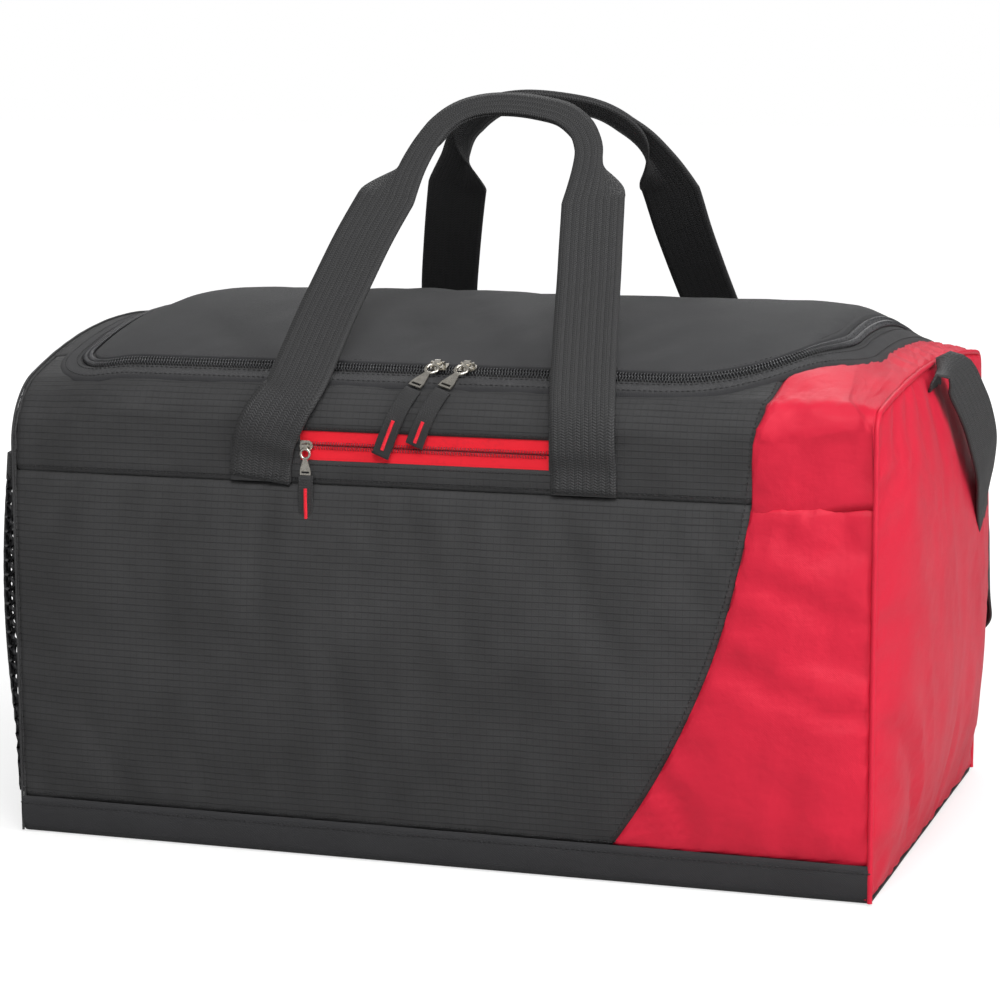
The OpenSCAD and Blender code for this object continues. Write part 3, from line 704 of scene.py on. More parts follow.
def rods(paths, radius):
    """Bent rods through the given rows of centre points: the loops of a coil."""
    verts, faces = [], []
    for path in paths:
        base = len(verts)
        heading = unit(np.gradient(path, axis=0))
        side = unit(np.cross(heading, [0.31, 0.17, 0.93]))
        lift = np.cross(side, heading)
        for c, s, u in zip(path, side, lift):
            verts += [c + s * radius, c + u * radius, c - s * radius, c - u * radius]
        for i in range(len(path) - 1):
            for k in range(4):
                a, b = base + 4 * i + k, base + 4 * i + (k + 1) % 4
                faces.append((a, b, b + 4, a + 4))
        faces.append(tuple(base + k for k in (3, 2, 1, 0)))
        last = base + 4 * (len(path) - 1)
        faces.append(tuple(last + k for k in range(4)))
    return np.array(verts), faces


HINGE = ((0, HINGE_Y + 5 * MM, 0.3), (0, HINGE_Y - 9 * MM, 0.3))


def build_main_zip():
    fine = zip_plan(4 * MM)
    facing = zip_sheet(fine, [(FACING_EDGE + 1.6 * MM, -1.2 * MM), (FACING_EDGE + 0.6 * MM, 0.3 * MM),
                              (FACING_EDGE - 1.5 * MM, 1.3 * MM), (12 * MM, 1.2 * MM), (8 * MM, 1.0 * MM),
                              (5.6 * MM, 0.8 * MM), (4.7 * MM, 0.4 * MM), (4.6 * MM, -0.2 * MM)])
    wobble = 0.25 * MM * ripple(facing[..., 0], facing[..., 1], 22 * MM, 41)
    facing = facing + normals(facing) * wobble[..., None]
    cloth_piece("zip_lip", facing, "bag_shell", "base_cloth", ("zip_facing",), thickness=1.0 * MM)
    rows = []
    for e, up in ((FACING_EDGE - 3 * MM, 1.45 * MM), (6.8 * MM, 1.1 * MM)):
        line = zip_points(fine, e, up)
        rows.append((line, unit(zip_points(fine, e, 3 * MM) - line)))
    stitches("zip_lip_stitches", rows, "bag_shell", "black_thread")
    for side, name, body in ((1, "outer", "bag_shell"), (-1, "inner", ("bag_shell", "lid"))):
        bend = HINGE if side < 0 else None
        profile = [(side * 5 * MM, -0.4 * MM), (side * 3 * MM, -0.2 * MM), (side * 0.3 * MM, -0.25 * MM)]
        tape = zip_sheet(fine, profile if side > 0 else profile[::-1])
        cloth_piece("zip_tape_" + name + "_cloth", tape, body, "zip_tape", ("zip_tape_" + name,),
                    thickness=0.7 * MM, bend=bend)
        pitch = 1.9 * MM
        plan = zip_plan(pitch)
        shift = np.gradient(plan[0], axis=0) * (0.25 if side > 0 else -0.25)
        loop = [(3.0, 0.1), (3.15, 1.1), (2.5, 1.75), (1.4, 1.85), (0.4, 1.4), (0.15, 0.5)]
        lines = [zip_points((plan[0] + shift, plan[1]), side * e * MM, up * MM) for e, up in loop]
        verts, faces = rods(np.stack(lines, 1), 0.5 * MM)
        piece("zip_coil_" + name + "_loops", verts, faces, body, "zip_coil", ("zip_coil_" + name,),
              bend=bend)


# Lid ------------------------------------------------------------------------------------------
def zip_inset(x, y):
    """How far inside the zip's centre line a point of the plan is."""
    inset = np.minimum(np.minimum(x - ZIP_LEFT, ZIP_RIGHT - x), y - ZIP_FRONT)
    for sign, cx, r in ((-1, ZIP_LEFT + LEFT_R, LEFT_R), (1, ZIP_RIGHT - RIGHT_R, RIGHT_R)):
        cy = ZIP_FRONT + r
        corner = ((x - cx) * sign > 0) & (y < cy)
        inset = np.where(corner, r - np.hypot(x - cx, y - cy), inset)
    return inset


def front_line(x, e):
    """y of the zip's front run and corners, e outside its centre line."""
    y = np.full_like(x, ZIP_FRONT - e)
    for sign, cx, r in ((-1, ZIP_LEFT + LEFT_R, LEFT_R), (1, ZIP_RIGHT - RIGHT_R, RIGHT_R)):
        reach = np.clip((x - cx) * sign, 0, r + e)
        y = np.where((x - cx) * sign > 0, ZIP_FRONT + r - np.sqrt((r + e) ** 2 - reach ** 2), y)
    return y


def corner_columns(e, pitch=6 * MM):
    """Columns along x that follow both corners of the zip, e outside its centre line."""
    turn = np.sin(np.linspace(0, math.pi / 2, 26))
    left = ZIP_LEFT + LEFT_R - (LEFT_R + e) * turn[:22:3][::-1]
    left = np.concatenate([[ZIP_LEFT - e], left])
    right = ZIP_RIGHT - RIGHT_R + (RIGHT_R + e) * turn
    middle = np.arange(left[-1] + pitch, right[0] - pitch / 2, pitch)
    return np.concatenate([left, middle, right])


def build_lid():
    edge = -4.6 * MM
    x = corner_columns(edge)
    start = front_line(x, edge)
    end = HINGE_Y + 4.5 * MM
    t = spaced(end - ZIP_FRONT, 6 * MM)
    gx = np.repeat(x[None], len(t), 0)
    gy = mix(start[None], end, t[:, None])
    inset = zip_inset(gx, gy) + edge
    hinge = ease((HINGE_Y + 2 * MM - gy) / (6 * MM))
    hem = mix(0.1 * MM, 1.55 * MM, ease(inset / (1.3 * MM)))
    groove = -0.55 * MM * np.exp(-((inset - 3.6 * MM) / (0.8 * MM)) ** 2)
    soft = ease((inset - 5 * MM) / (40 * MM))
    folds = soft * (1.5 * ripple(0.7 * gx, gy, 120 * MM, 51) + 0.5 * ripple(gx, gy, 42 * MM, 52)) * MM
    near_edge = np.exp(-inset / (16 * MM)) * ease(inset / (5 * MM))
    gather = 0.45 * MM * ripple(gx + gy, gx - gy, 20 * MM, 53) * near_edge
    points = skin(gx, on_top(gx, gy), (hem + groove + folds + gather) * hinge - 1.0 * MM * (1 - hinge))
    settled = drape(points, 0.8, 0.004, 5 * MM)
    hold = ease((inset - 5 * MM) / (25 * MM))[..., None]
    points = mix(points, settled, hold)
    cloth_piece("lid_cloth", points, ("bag_shell", "lid"), "base_cloth", ("lid_panel",), bend=HINGE,
                thickness=1.4 * MM, uv=np.stack([gx, gy], -1))
    fine = zip_plan(4 * MM)
    line = zip_points(fine, edge - 3.6 * MM, 1.15 * MM)
    facing = unit(zip_points(fine, edge - 3.6 * MM, 3 * MM) - line)
    stitches("lid_stitches", [(line[2:-2], facing[2:-2])], "lid", "black_thread")


# Yokes ----------------------------------------------------------------------------------------
UNDER_LIP = FACING_EDGE - 2 * MM


def yoke_rows(x, foot_p, top_p, count):
    return mix(foot_p[None], top_p[None], np.linspace(0, 1, count)[:, None])


def front_yoke_columns():
    """Columns of the front yoke that stay put: by the zip's left corner and by the pocket opening."""
    fixed = corner_columns(UNDER_LIP, 7 * MM)
    fixed = fixed[fixed < 120 * MM]
    extra = np.array([-SIDE_X, -SIDE_X + 3 * MM, -SIDE_X + 6 * MM])
    window = np.concatenate([np.array(POCKET_X) + d for d in (-2.6 * MM, -1.2 * MM, 0, 1.5 * MM)])
    return np.unique(np.round(np.concatenate([extra, fixed, window]), 5))


def front_yoke_places():
    """x and girth of every point of the front yoke: level rows up to the pocket, then fanned to the zip."""
    fixed = front_yoke_columns()
    t_right = spaced(0.09)
    z_rows = np.concatenate([mix(YOKE_Z, POCKET_Z[0], np.array([0, 0.1, 0.25, 0.5, 0.75, 0.9])),
                             mix(POCKET_Z[0], POCKET_Z[1], np.array([0, 0.12, 0.5, 0.88, 1.0]))])
    head_x = np.concatenate([fixed, mix(fixed[-1], SEAM_TOP_X, t_right[1:])])
    head_y = front_line(head_x, UNDER_LIP)
    head_y = np.where(head_x < ZIP_LEFT - UNDER_LIP, ZIP_FRONT + LEFT_R, head_y)
    head_p = on_top(head_x, head_y)
    rows = []
    for z in z_rows:
        x = np.concatenate([fixed, mix(fixed[-1], seam_at(z), t_right[1:])])
        rows.append((x, on_wall(x, z)))
    for share in np.linspace(0, 1, 20)[1:]:
        edge_x = mix(seam_at(z_rows[-1]), SEAM_TOP_X, share ** 1.25)
        x = np.concatenate([fixed, mix(fixed[-1], edge_x, t_right[1:])])
        rows.append((x, mix(on_wall(x, z_rows[-1]), head_p, share)))
    return np.array([row[0] for row in rows]), np.array([row[1] for row in rows])


def in_pocket_opening(x, z):
    """True for each face of a grid that lies inside the pocket opening."""
    inside = (x[:-1, :-1] >= POCKET_X[0] - 1e-5) & (x[1:, 1:] <= POCKET_X[1] + 1e-5)
    return inside & (z[:-1, :-1] >= POCKET_Z[0] - 1e-5) & (z[1:, 1:] <= POCKET_Z[1] + 1e-5)


def build_front_yoke():
    """Black yoke: flat up to the roll with the pocket opening cut in it, then over to the zip lip."""
    x, p = front_yoke_places()
    flat = skin(x, p)
    z = flat[..., 2]
    away_x = np.maximum(POCKET_X[0] - x, x - POCKET_X[1])
    away_z = np.maximum(POCKET_Z[0] - z, z - POCKET_Z[1])
    away = np.maximum(away_x, away_z)
    hem = -0.8 * MM * (1 - ease(np.abs(away) / (2.4 * MM)))
    calm = ease(away / (18 * MM)) * ease((z - YOKE_Z) / (15 * MM))
    folds = calm * (0.8 * ripple(x, 2 * p * 0.1, 70 * MM, 61) + 0.35 * ripple(x, p * 0.2, 26 * MM, 62)) * MM
    points = sew(skin(x, p, hem + folds), ("foot", "left", "right"), 63, pucker=0.3 * MM)
    cloth_piece("front_yoke_cloth", points, "bag_shell", "black_ripstop", ("front_yoke_panel",),
                keep=~in_pocket_opening(x, z), thickness=1.2 * MM,
                uv=np.stack([x, edge_fields(flat)["foot"][0] + YOKE_Z], -1))
    rows = [seam_stitches(points, 4 * MM, "right"), seam_stitches(points, 3.5 * MM, "foot")]
    for z_row in (POCKET_Z[0] - 2.6 * MM, POCKET_Z[1] + 2.2 * MM):
        xs = np.linspace(POCKET_X[0] - 2 * MM, POCKET_X[1] + 2 * MM, 60)
        rows.append((skin(xs, on_wall(xs, z_row), 0.1 * MM), np.tile([0.0, -1.0, 0.0], (60, 1))))
    stitches("front_yoke_stitches", rows, "bag_shell", "black_thread")


def build_corner_yoke():
    """Red yoke: from the curved seam round the big corner and back along the red end."""
    r = RIGHT_R + UNDER_LIP
    cx, cy = ZIP_RIGHT - RIGHT_R, ZIP_FRONT + RIGHT_R
    first = math.asin((SEAM_TOP_X - cx) / r)
    arc = [(cx + r * math.sin(a), cy - r * math.cos(a)) for a in np.linspace(first, math.pi / 2, 26)]
    run = [(cx + r, y) for y in np.linspace(cy, HINGE_Y + 2 * MM, 34)[1:]]
    head = np.array(arc + run)
    foot_x = np.concatenate([mix(seam_at(YOKE_Z), SIDE_X + 1.5 * MM, spaced(0.072, 7 * MM)),
                             np.full(len(head), SIDE_X + 1.5 * MM)])[:len(head)]
    bottom = int(np.argmax(foot_x >= SIDE_X + 1.4 * MM))
    edge_p = on_wall(SIDE_X, YOKE_Z)
    side_p = mix(edge_p, on_top(SIDE_X, cy), np.linspace(0, 1, 26 - bottom)[1:])
    foot_p = np.concatenate([np.full(bottom + 1, edge_p), side_p, on_top(SIDE_X, head[26:, 1])])[:len(head)]
    share = spaced(0.09, 4 * MM)[:, None]
    x = mix(foot_x[None], head[None, :, 0], share ** 1.25)
    p = mix(foot_p[None], on_top(head[:, 0], head[:, 1])[None], share)
    flat = skin(np.minimum(x, SIDE_X + 1.5 * MM), p)
    puff = np.sin(math.pi * np.clip(share, 0, 1)) ** 0.7
    folds = 1.5 * ripple(flat[..., 0], flat[..., 1] + flat[..., 2], 60 * MM, 71)
    folds = folds + 1.1 * creases(flat[..., 0] * 2, flat[..., 1] + flat[..., 2], 34 * MM, 72)
    points = skin(np.minimum(x, SIDE_X + 1.5 * MM), p, (2.4 + folds) * MM * puff)
    points = drape(points, 1.2, 0.012, 5 * MM)
    points = sew(points, ("foot", "left", "head"), 73, pucker=0.7 * MM)
    cloth_piece("corner_yoke_cloth", points, "bag_shell", "red_nylon", ("corner_yoke_panel",),
                thickness=1.2 * MM)


def build_other_yokes():
    left, seam, right = (-SIDE_X, -SIDE_X), (SEAM_X, SEAM_TOP_X), (SIDE_X + 1.5 * MM, SIDE_X + 1.5 * MM)
    yokes = (("back_yoke_cloth", "black_ripstop", "back_yoke_panel", left, seam, 81),
             ("back_corner_yoke_cloth", "red_nylon", "back_corner_yoke_panel", seam, right, 83))
    for name, look, node, near, far, seed in yokes:
        t = spaced(far[0] - near[0], 7 * MM)
        share = spaced(0.1, 6 * MM)[:, None]
        foot = mix(near[0], far[0], t)
        head = mix(near[1], far[1], t)
        x = mix(foot[None], head[None], share ** 1.6)
        back = on_top(head, np.full_like(head, -HINGE_Y - 0.5 * MM))
        p = mix(on_wall(foot, YOKE_Z)[None], back[None], share)
        folds = 0.9 * MM * ripple(x, p * 0.1, 60 * MM, seed) * np.sin(math.pi * share)
        points = sew(skin(x, p, folds), ("foot", "left", "right", "head"), seed)
        cloth_piece(name, to_back(points), "bag_shell", look, (node,), thickness=1.2 * MM)
    y = np.linspace(HINGE_Y + 2 * MM, ZIP_FRONT + LEFT_R - 2 * MM, 60)
    share = np.linspace(0, 1, 6)[:, None]
    x = mix(-SIDE_X - 1.0 * MM, ZIP_LEFT - UNDER_LIP, share) + 0 * y[None]
    up = 0.5 * MM * np.sin(math.pi * share) - 0.8 * MM * (1 - share)
    points = skin(x, on_top(x, y[None] + 0 * x), up)
    cloth_piece("top_strip_cloth", points, "bag_shell", "black_ripstop", ("top_strip_left",),
                thickness=1.2 * MM)


def build_inner_tapes():
    """Tapes inside the bag that close the yoke seams and the lid's back edge."""
    x = np.linspace(-HALF_L + 3 * MM, HALF_L - 3 * MM, 90)
    gx, gz = np.meshgrid(x, YOKE_Z + np.linspace(-7 * MM, 7 * MM, 5))
    across = skin(gx, on_wall(gx, gz), -CLOTH_T - 1.0 * MM + 0.2 * MM * ripple(gx, gz, 24 * MM, 88))
    cloth_piece("yoke_tape_front", across, "bag_shell", "binding", thickness=0.7 * MM)
    cloth_piece("yoke_tape_back", to_back(across), "bag_shell", "binding", thickness=0.7 * MM)
    gx, gy = np.meshgrid(x, np.linspace(HINGE_Y - 4 * MM, HINGE_Y + 9 * MM, 6))
    under = skin(gx, on_top(gx, gy), -2.4 * MM)
    cloth_piece("lid_edge_tape", under, "bag_shell", "binding", thickness=0.8 * MM)


# Ends -----------------------------------------------------------------------------------------
def end_grid(side, bulge, seed):
    """Grid of an end panel, which bellies out between its seams."""
    y = mix(-HALF_D, HALF_D, spaced(2 * HALF_D, 7 * MM))
    x_edge = side * SIDE_X
    head = skin(x_edge + 0 * y, on_top(x_edge + 0 * y, y))[:, 2]
    foot = 3 * MM
    t = spaced(0.28, 7 * MM)[:, None]
    z = mix(foot, head[None], t)
    gy = np.repeat(y[None], len(t), 0)
    hold = (1 - np.abs(gy / HALF_D) ** 4) * (1 - np.abs(2 * t - 1) ** 4)
    stiff = 1.0 if side > 0 else 0.3
    folds = 1.6 * ripple(gy, 0.5 * z, 90 * MM, seed)
    folds = folds + 1.5 * stiff * creases(gy + 0.35 * z, 0.3 * z, 60 * MM, seed + 1)
    x = side * (HALF_L + (bulge / MM + folds) * MM * hold)
    points = np.stack([x, gy, z], -1)
    return points if side > 0 else points[:, ::-1]


def rim_line(side, out, steps=14):
    """The seam line round an end panel, from the front foot over the top to the back foot."""
    wall = np.linspace(6 * MM, 1, steps * 3)
    p = np.concatenate([wall * 0.999, np.linspace(1, 2, steps)[1:], np.linspace(2, 4, steps * 4)[1:],
                        np.linspace(4, 5, steps)[1:], 6 - wall[::-1][1:] * 0.999])
    x = side * SIDE_X + 0 * p
    line = skin(x, p, out)
    line[:, 0] = side * (HALF_L - 0.6 * MM)
    return line


def tube(name, line, radius, body, look, nodes=(), sides=8, pulse=0.0):
    """A cord along a line, its thickness varying by pulse."""
    line = np.asarray(line, float)
    heading = unit(np.gradient(line, axis=0))
    across = unit(np.cross(heading, [1.0, 0.02, 0.03]))
    lift = np.cross(heading, across)
    length = np.concatenate([[0], np.linalg.norm(np.diff(line, axis=0), axis=1).cumsum()])
    size = radius * (1 + pulse * ripple(length, 0, 14 * MM, 91))
    angles = np.linspace(0, math.tau, sides, endpoint=False)
    rings = [line + size[:, None] * (across * math.cos(a) + lift * math.sin(a)) for a in angles]
    rings.append(rings[0])
    grid = np.stack(rings, 0)
    girth = (np.arange(sides + 1) * math.tau / sides * radius)[:, None]
    uv = np.stack(np.broadcast_arrays(length[None], girth), -1)
    return piece(name, grid, grid_faces(sides + 1, len(line)), body, look, nodes, uv)


def build_ends():
    red = end_grid(1, 9 * MM, 101)
    red = drape(red, 2.2, 0.018, 13 * MM)
    red = sew(red, ("foot", "head", "left", "right"), 103, pucker=1.1 * MM, wave=15 * MM)
    cloth_piece("end_red_cloth", red, "bag_shell", "red_nylon", ("end_panel_right",), uv=red[..., [1, 2]])
    black = end_grid(-1, 2.5 * MM, 107)
    black = sew(black, ("foot", "head", "left", "right"), 109, pucker=0.4 * MM)
    cloth_piece("end_black_cloth", black, "bag_shell", "black_ripstop", ("end_panel_left",),
                uv=black[..., [1, 2]])
    for side, look in ((1, "red_nylon"), (-1, "black_ripstop")):
        name = "right" if side > 0 else "left"
        line, _ = resample(rim_line(side, 0.2 * MM), 4 * MM)
        tube("end_welt_" + name, line, (1.7 if side > 0 else 0.9) * MM, "bag_shell", look, pulse=0.12)
        p = np.concatenate([np.linspace(0.1, 1, 30), np.linspace(1, 5, 90)[1:], np.linspace(5, 5.9, 30)[1:]])
        x = side * (SIDE_X - mix(1 * MM, 7 * MM, np.linspace(0, 1, 5)))
        gx, gp = np.meshgrid(np.sort(x), p)
        inner = skin(gx, gp, -CLOTH_T - 1.2 * MM)
        cloth_piece("seam_tape_" + name, inner, "bag_shell", "binding", ("seam_binding_" + name,),
                    thickness=0.8 * MM)


# Mesh pocket ----------------------------------------------------------------------------------
def mesh_point(u, v, out=0.0):
    """u runs from the front to the back of the black end, v from the foot to the mouth of the pocket."""
    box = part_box("mesh_pocket")
    y = mix(box[0].y, box[1].y, u)
    z = mix(box[0].z, box[1].z, v)
    belly = np.sqrt(np.clip(1 - np.abs(2 * u - 1) ** 6, 0, 1))
    depth = mix(22, 8, u) * MM * belly * np.clip(np.sin(math.radians(150) * v), 0, 1)
    return np.stack(np.broadcast_arrays(-HALF_L - 2.2 * MM - depth - out, y, z), -1)


def build_mesh_pocket():
    """Open warp-knit mesh as real six-sided holes, bound along its mouth."""
    cell = 5.4 * MM
    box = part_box("mesh_pocket")
    width, tall = box[1].y - box[0].y, box[1].z - box[0].z
    columns, rows = int(width / (cell * 1.5)), int(tall / (cell * math.sqrt(3)))
    verts, index, faces = [], {}, []
    for c in range(columns):
        for r in range(rows):
            cu = (c + 0.5) * 1.5 * cell
            cv = (r + 0.5 + 0.5 * (c % 2)) * math.sqrt(3) * cell
            face = []
            for k in range(6):
                y = cu + cell * math.cos(math.radians(60 * k))
                z = cv + cell * math.sin(math.radians(60 * k))
                key = (round(y / MM, 1), round(z / MM, 1))
                if key not in index:
                    index[key] = len(verts)
                    verts.append((min(max(y / width, 0), 1), min(max(z / tall, 0), 1)))
                face.append(index[key])
            faces.append(tuple(face[::-1]))
    uv = np.array(verts)
    points = mesh_point(uv[:, 0], uv[:, 1])
    net = piece("mesh_pocket_net", points, faces, "bag_shell", "mesh", ("mesh_pocket",))
    wire = net.modifiers.new("wire", "WIREFRAME")
    wire.thickness = 2.5 * MM
    wire.use_even_offset = False
    look = net.data.materials[0]
    apply_modifiers(net)
    net.data.materials.clear()
    net.data.materials.append(look)
    u = np.linspace(0, 1, 80)
    v = np.linspace(0.955, 1.035, 5)
    gu, gv = np.meshgrid(u[::-1], v)
    band = mesh_point(gu, gv, 1.3 * MM)
    cloth_piece("mesh_pocket_edge", band, "bag_shell", "binding", ("mesh_pocket_binding",),
                thickness=2.2 * MM)


# Front pocket zip -----------------------------------------------------------------------------
def build_pocket_zip():
    centre = (POCKET_Z[0] + POCKET_Z[1]) / 2
    x = np.linspace(POCKET_X[0] - 3 * MM, POCKET_X[1] + 3 * MM, 60)
    for name, sign in (("upper", 1), ("lower", -1)):
        offsets = np.array([0.4, 1.6, 3.0, 6.0, 9.6, 11.0]) * MM
        z = centre + sign * offsets
        z = z if sign > 0 else z[::-1]
        gx, gz = np.meshgrid(x, z)
        up = -1.5 * MM + 0.12 * MM * ripple(gx, gz, 16 * MM, 121)
        cloth_piece("pocket_tape_" + name + "_cloth", skin(gx, on_wall(gx, gz), up), "bag_shell", "red_tape",
                    ("pocket_tape_" + name,), thickness=0.6 * MM)
    pitch = 1.7 * MM
    stations = np.arange(POCKET_X[0] + 1 * MM, POCKET_X[1] - 1 * MM, pitch)
    loop = [(2.1, -1.6), (2.15, -0.9), (1.6, -0.45), (0.8, -0.4), (0.2, -0.7), (0.1, -1.2)]
    paths = []
    for sign in (1, -1):
        xs = stations + (0.25 if sign > 0 else -0.25) * pitch
        lines = [skin(xs, on_wall(xs, centre + sign * dz * MM), up * MM) for dz, up in loop]
        paths += list(np.stack(lines, 1))
    verts, faces = rods(paths, 0.36 * MM)
    piece("pocket_coil_loops", verts, faces, "bag_shell", "red_coil", ("pocket_coil",))
    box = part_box("pocket_lining")
    gx, gz = np.meshgrid(np.linspace(box[0].x, box[1].x, 40), np.linspace(box[0].z, box[1].z, 32))
    for name, y, side in (("near", box[0].y + 0.4 * MM, 1), ("far", box[1].y - 0.2 * MM, -1)):
        wrinkle = side * 0.35 * MM * ripple(gx, gz, 30 * MM, 131)
        nodes = ("pocket_lining",) if side > 0 else ()
        cloth_piece("pocket_bag_" + name, np.stack([gx, y + wrinkle, gz], -1), "bag_shell", "lining", nodes,
                    thickness=0.4 * MM)


# Webbing --------------------------------------------------------------------------------------
WEB_T = 1.6 * MM
LEAN = math.radians(42.2)
REACH = ROLL[0] + 4.4 * MM
STEM = WALL[0] - PIVOT_Z


def rise(s):
    """y, z and lean of a handle at the length s above its pivot, for the back handle."""
    angle = np.clip((s - STEM) / REACH, 0, LEAN)
    t = np.maximum(0, s - STEM - REACH * LEAN)
    y = HALF_D - ROLL[0] + REACH * np.cos(angle) - t * np.sin(angle)
    z = np.minimum(WALL[0], PIVOT_Z + s) + REACH * np.sin(angle) + t * np.cos(angle)
    settle = 3.1 * MM * (1 - ease((s + 12 * MM) / (14 * MM)))
    return y - settle, z, angle


def band(centre, facing, width, fold=None, twist_in=0.0):
    """Grid across a webbing band: folded over its own middle line where fold is 1."""
    heading = unit(np.gradient(centre, axis=0))
    across = unit(np.cross(facing, heading))
    lift = np.cross(heading, across)
    fold = np.zeros(len(centre)) if fold is None else fold
    shares = np.linspace(-1, 1, 13)
    rows = []
    for w in shares:
        angle = fold * math.radians(176) * (1 if w > 0 else 0)
        reach = (w * width / 2)[:, None] if np.ndim(width) else w * width / 2
        direction = across * np.cos(angle)[:, None] - lift * 0.3 * np.sin(angle)[:, None]
        gap = -lift * (fold * (0.0 if w < 0 else 1.9 * MM) * min(1, abs(w) * 3))[:, None]
        rows.append(centre + direction * reach + gap + across * (fold * width / 4)[:, None]
                    - lift * (twist_in * w * w))
    grid = np.stack(rows, 0)
    run = np.concatenate([[0], np.linalg.norm(np.diff(centre, axis=0), axis=1).cumsum()])
    uv = np.stack(np.broadcast_arrays(((shares + 1) / 2 * 40 * MM)[:, None], run[None]), -1)
    return grid, uv


def build_handle(name, side, outline, node, body):
    """One handle: sewn feet on the wall, flat legs, and a grip folded double across the top."""
    path = smooth_line(np.array(outline) * MM, 7)
    path, _ = resample(path, 3.5 * MM)
    y, z, lean = rise(path[:, 1])
    centre = np.stack([path[:, 0], side * y, z], 1)
    facing = np.stack([0 * y, side * np.cos(lean), np.sin(lean)], 1)
    fold = np.arccos(1 - 2 * ease((path[:, 1] - 184 * MM) / (58 * MM))) / math.pi
    grid, uv = band(centre, facing, 40 * MM * (1 - 0.16 * fold), fold)
    wave = 0.5 * MM * ripple(path[:, 1], 0, 70 * MM, 141 + side)
    grid = grid + facing[None] * (wave * ease(path[:, 1] / (40 * MM)))[None, :, None]
    pivot = side * (HALF_D + 4 * MM)
    cloth_piece(name, grid, ("bag_shell", body), "webbing", (node,), thickness=-WEB_T, uv=uv,
                bend=((0, pivot, PIVOT_Z - 5 * MM), (0, pivot, PIVOT_Z + 10 * MM)))
    rows = []
    inset = 3.2 * MM
    bottom = YOKE_Z + 4.5 * MM
    top = PIVOT_Z - 6 * MM
    for x_low, x_high in ((path[0, 0], np.interp(top, z[:8], path[:8, 0])),
                          (path[-1, 0], np.interp(top, z[::-1][:8], path[::-1][:8, 0]))):
        half = 20 * MM - inset
        corners = [(x_low - half, bottom), (x_low + half, bottom), (x_high + half, top),
                   (x_high - half, top), (x_low - half, bottom)]
        line = np.array([(x, side * (HALF_D + 2.35 * MM), h) for x, h in corners])
        line, _ = resample(line, 2 * MM)
        rows.append((line, np.tile([0.0, float(side), 0.0], (len(line), 1))))
    stitches(name + "_stitches", rows, "bag_shell", "black_thread", pitch=2.8 * MM)


def build_handles():
    front = [(-107, -25), (-105, -10), (-101, 4), (-92, 22), (-85, 40), (-79, 92), (-70, 148),
             (-61, 188), (-54, 214), (-45, 235), (-33, 252), (-18, 260), (2, 262), (24, 259), (44, 252),
             (61, 234), (70, 210), (81, 144), (89, 91), (96, 47), (100, 22), (101, 0), (101, -25)]
    back = [(-104, -25), (-104, 1), (-103, 22), (-95, 69), (-81, 120), (-63, 179), (-53, 207),
            (-43, 235), (-20, 257), (3, 264), (30, 262), (55, 254), (72, 237), (81, 218), (87, 191),
            (90, 140), (96, 76), (103, 22), (104, 1), (104, -25)]
    build_handle("front_handle_webbing", -1, front, "handle_front", "front_handle")
    build_handle("back_handle_webbing", 1, back, "handle_back", "back_handle")


def build_strap():
    """Shoulder strap: one slack loop that falls outwards at both ends and hangs behind the back.

    Each row of half is a point in millimetres from the sewn end, and the way the webbing faces there.
    """
    half = [(0, -19, 289, -1, 0, 0.05), (2, -19, 299, -0.75, -0.1, 0.66),
            (8, -17, 302, 0.3, -0.35, 0.9), (16, -12, 294, 0.87, -0.4, 0.3),
            (22, -3, 278, 0.95, -0.29, 0.07), (25, 10, 262, 0.97, -0.22, -0.08),
            (26, 30, 240, 0.97, -0.12, -0.15), (21, 58, 216, 0.98, 0, -0.2),
            (15, 88, 192, 0.99, 0.1, -0.1), (11, 120, 169, 1, 0.05, -0.05),
            (9, 150, 143, 0.98, 0.25, 0), (-2, 182, 118, 0.7, 0.7, 0),
            (-30, 195, 101, 0.2, 1, 0), (-80, 195, 96, 0, 1, 0), (-180, 195, 94, 0, 1, 0)]
    half = np.array(half, float)
    half[:, :3] = half[:, :3] * MM + np.array([HALF_L + 3.7 * MM, 0, 0])
    both = np.vstack([half, half[::-1] * np.array([-1, 1, 1, -1, 1, 1])])
    path, _ = resample(smooth_line(both, 8), 5 * MM)
    grid, uv = band(path[:, :3], unit(path[:, 3:]), np.full(len(path), 37 * MM), None, 0.5 * MM)
    cloth_piece("shoulder_strap_webbing", grid, "strap", "webbing", ("shoulder_strap",),
                thickness=-WEB_T, uv=uv)
    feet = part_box("strap_feet")
    middle = (feet[0].y + feet[1].y) / 2
    for side, name in ((1, "right"), (-1, "left")):
        z = np.linspace(feet[0].z, feet[1].z + 4 * MM, 12)
        line = np.stack([np.full(12, side * (HALF_L + 1.3 * MM)), np.full(12, middle), z], 1)
        facing_out = np.tile([float(side), 0.0, 0.0], (12, 1))
        grid, uv = band(line, facing_out, np.full(12, 37 * MM))
        nodes = ("strap_feet",) if side > 0 else ()
        cloth_piece("strap_foot_" + name, grid, "bag_shell", "webbing", nodes, thickness=-1.2 * MM, uv=uv)


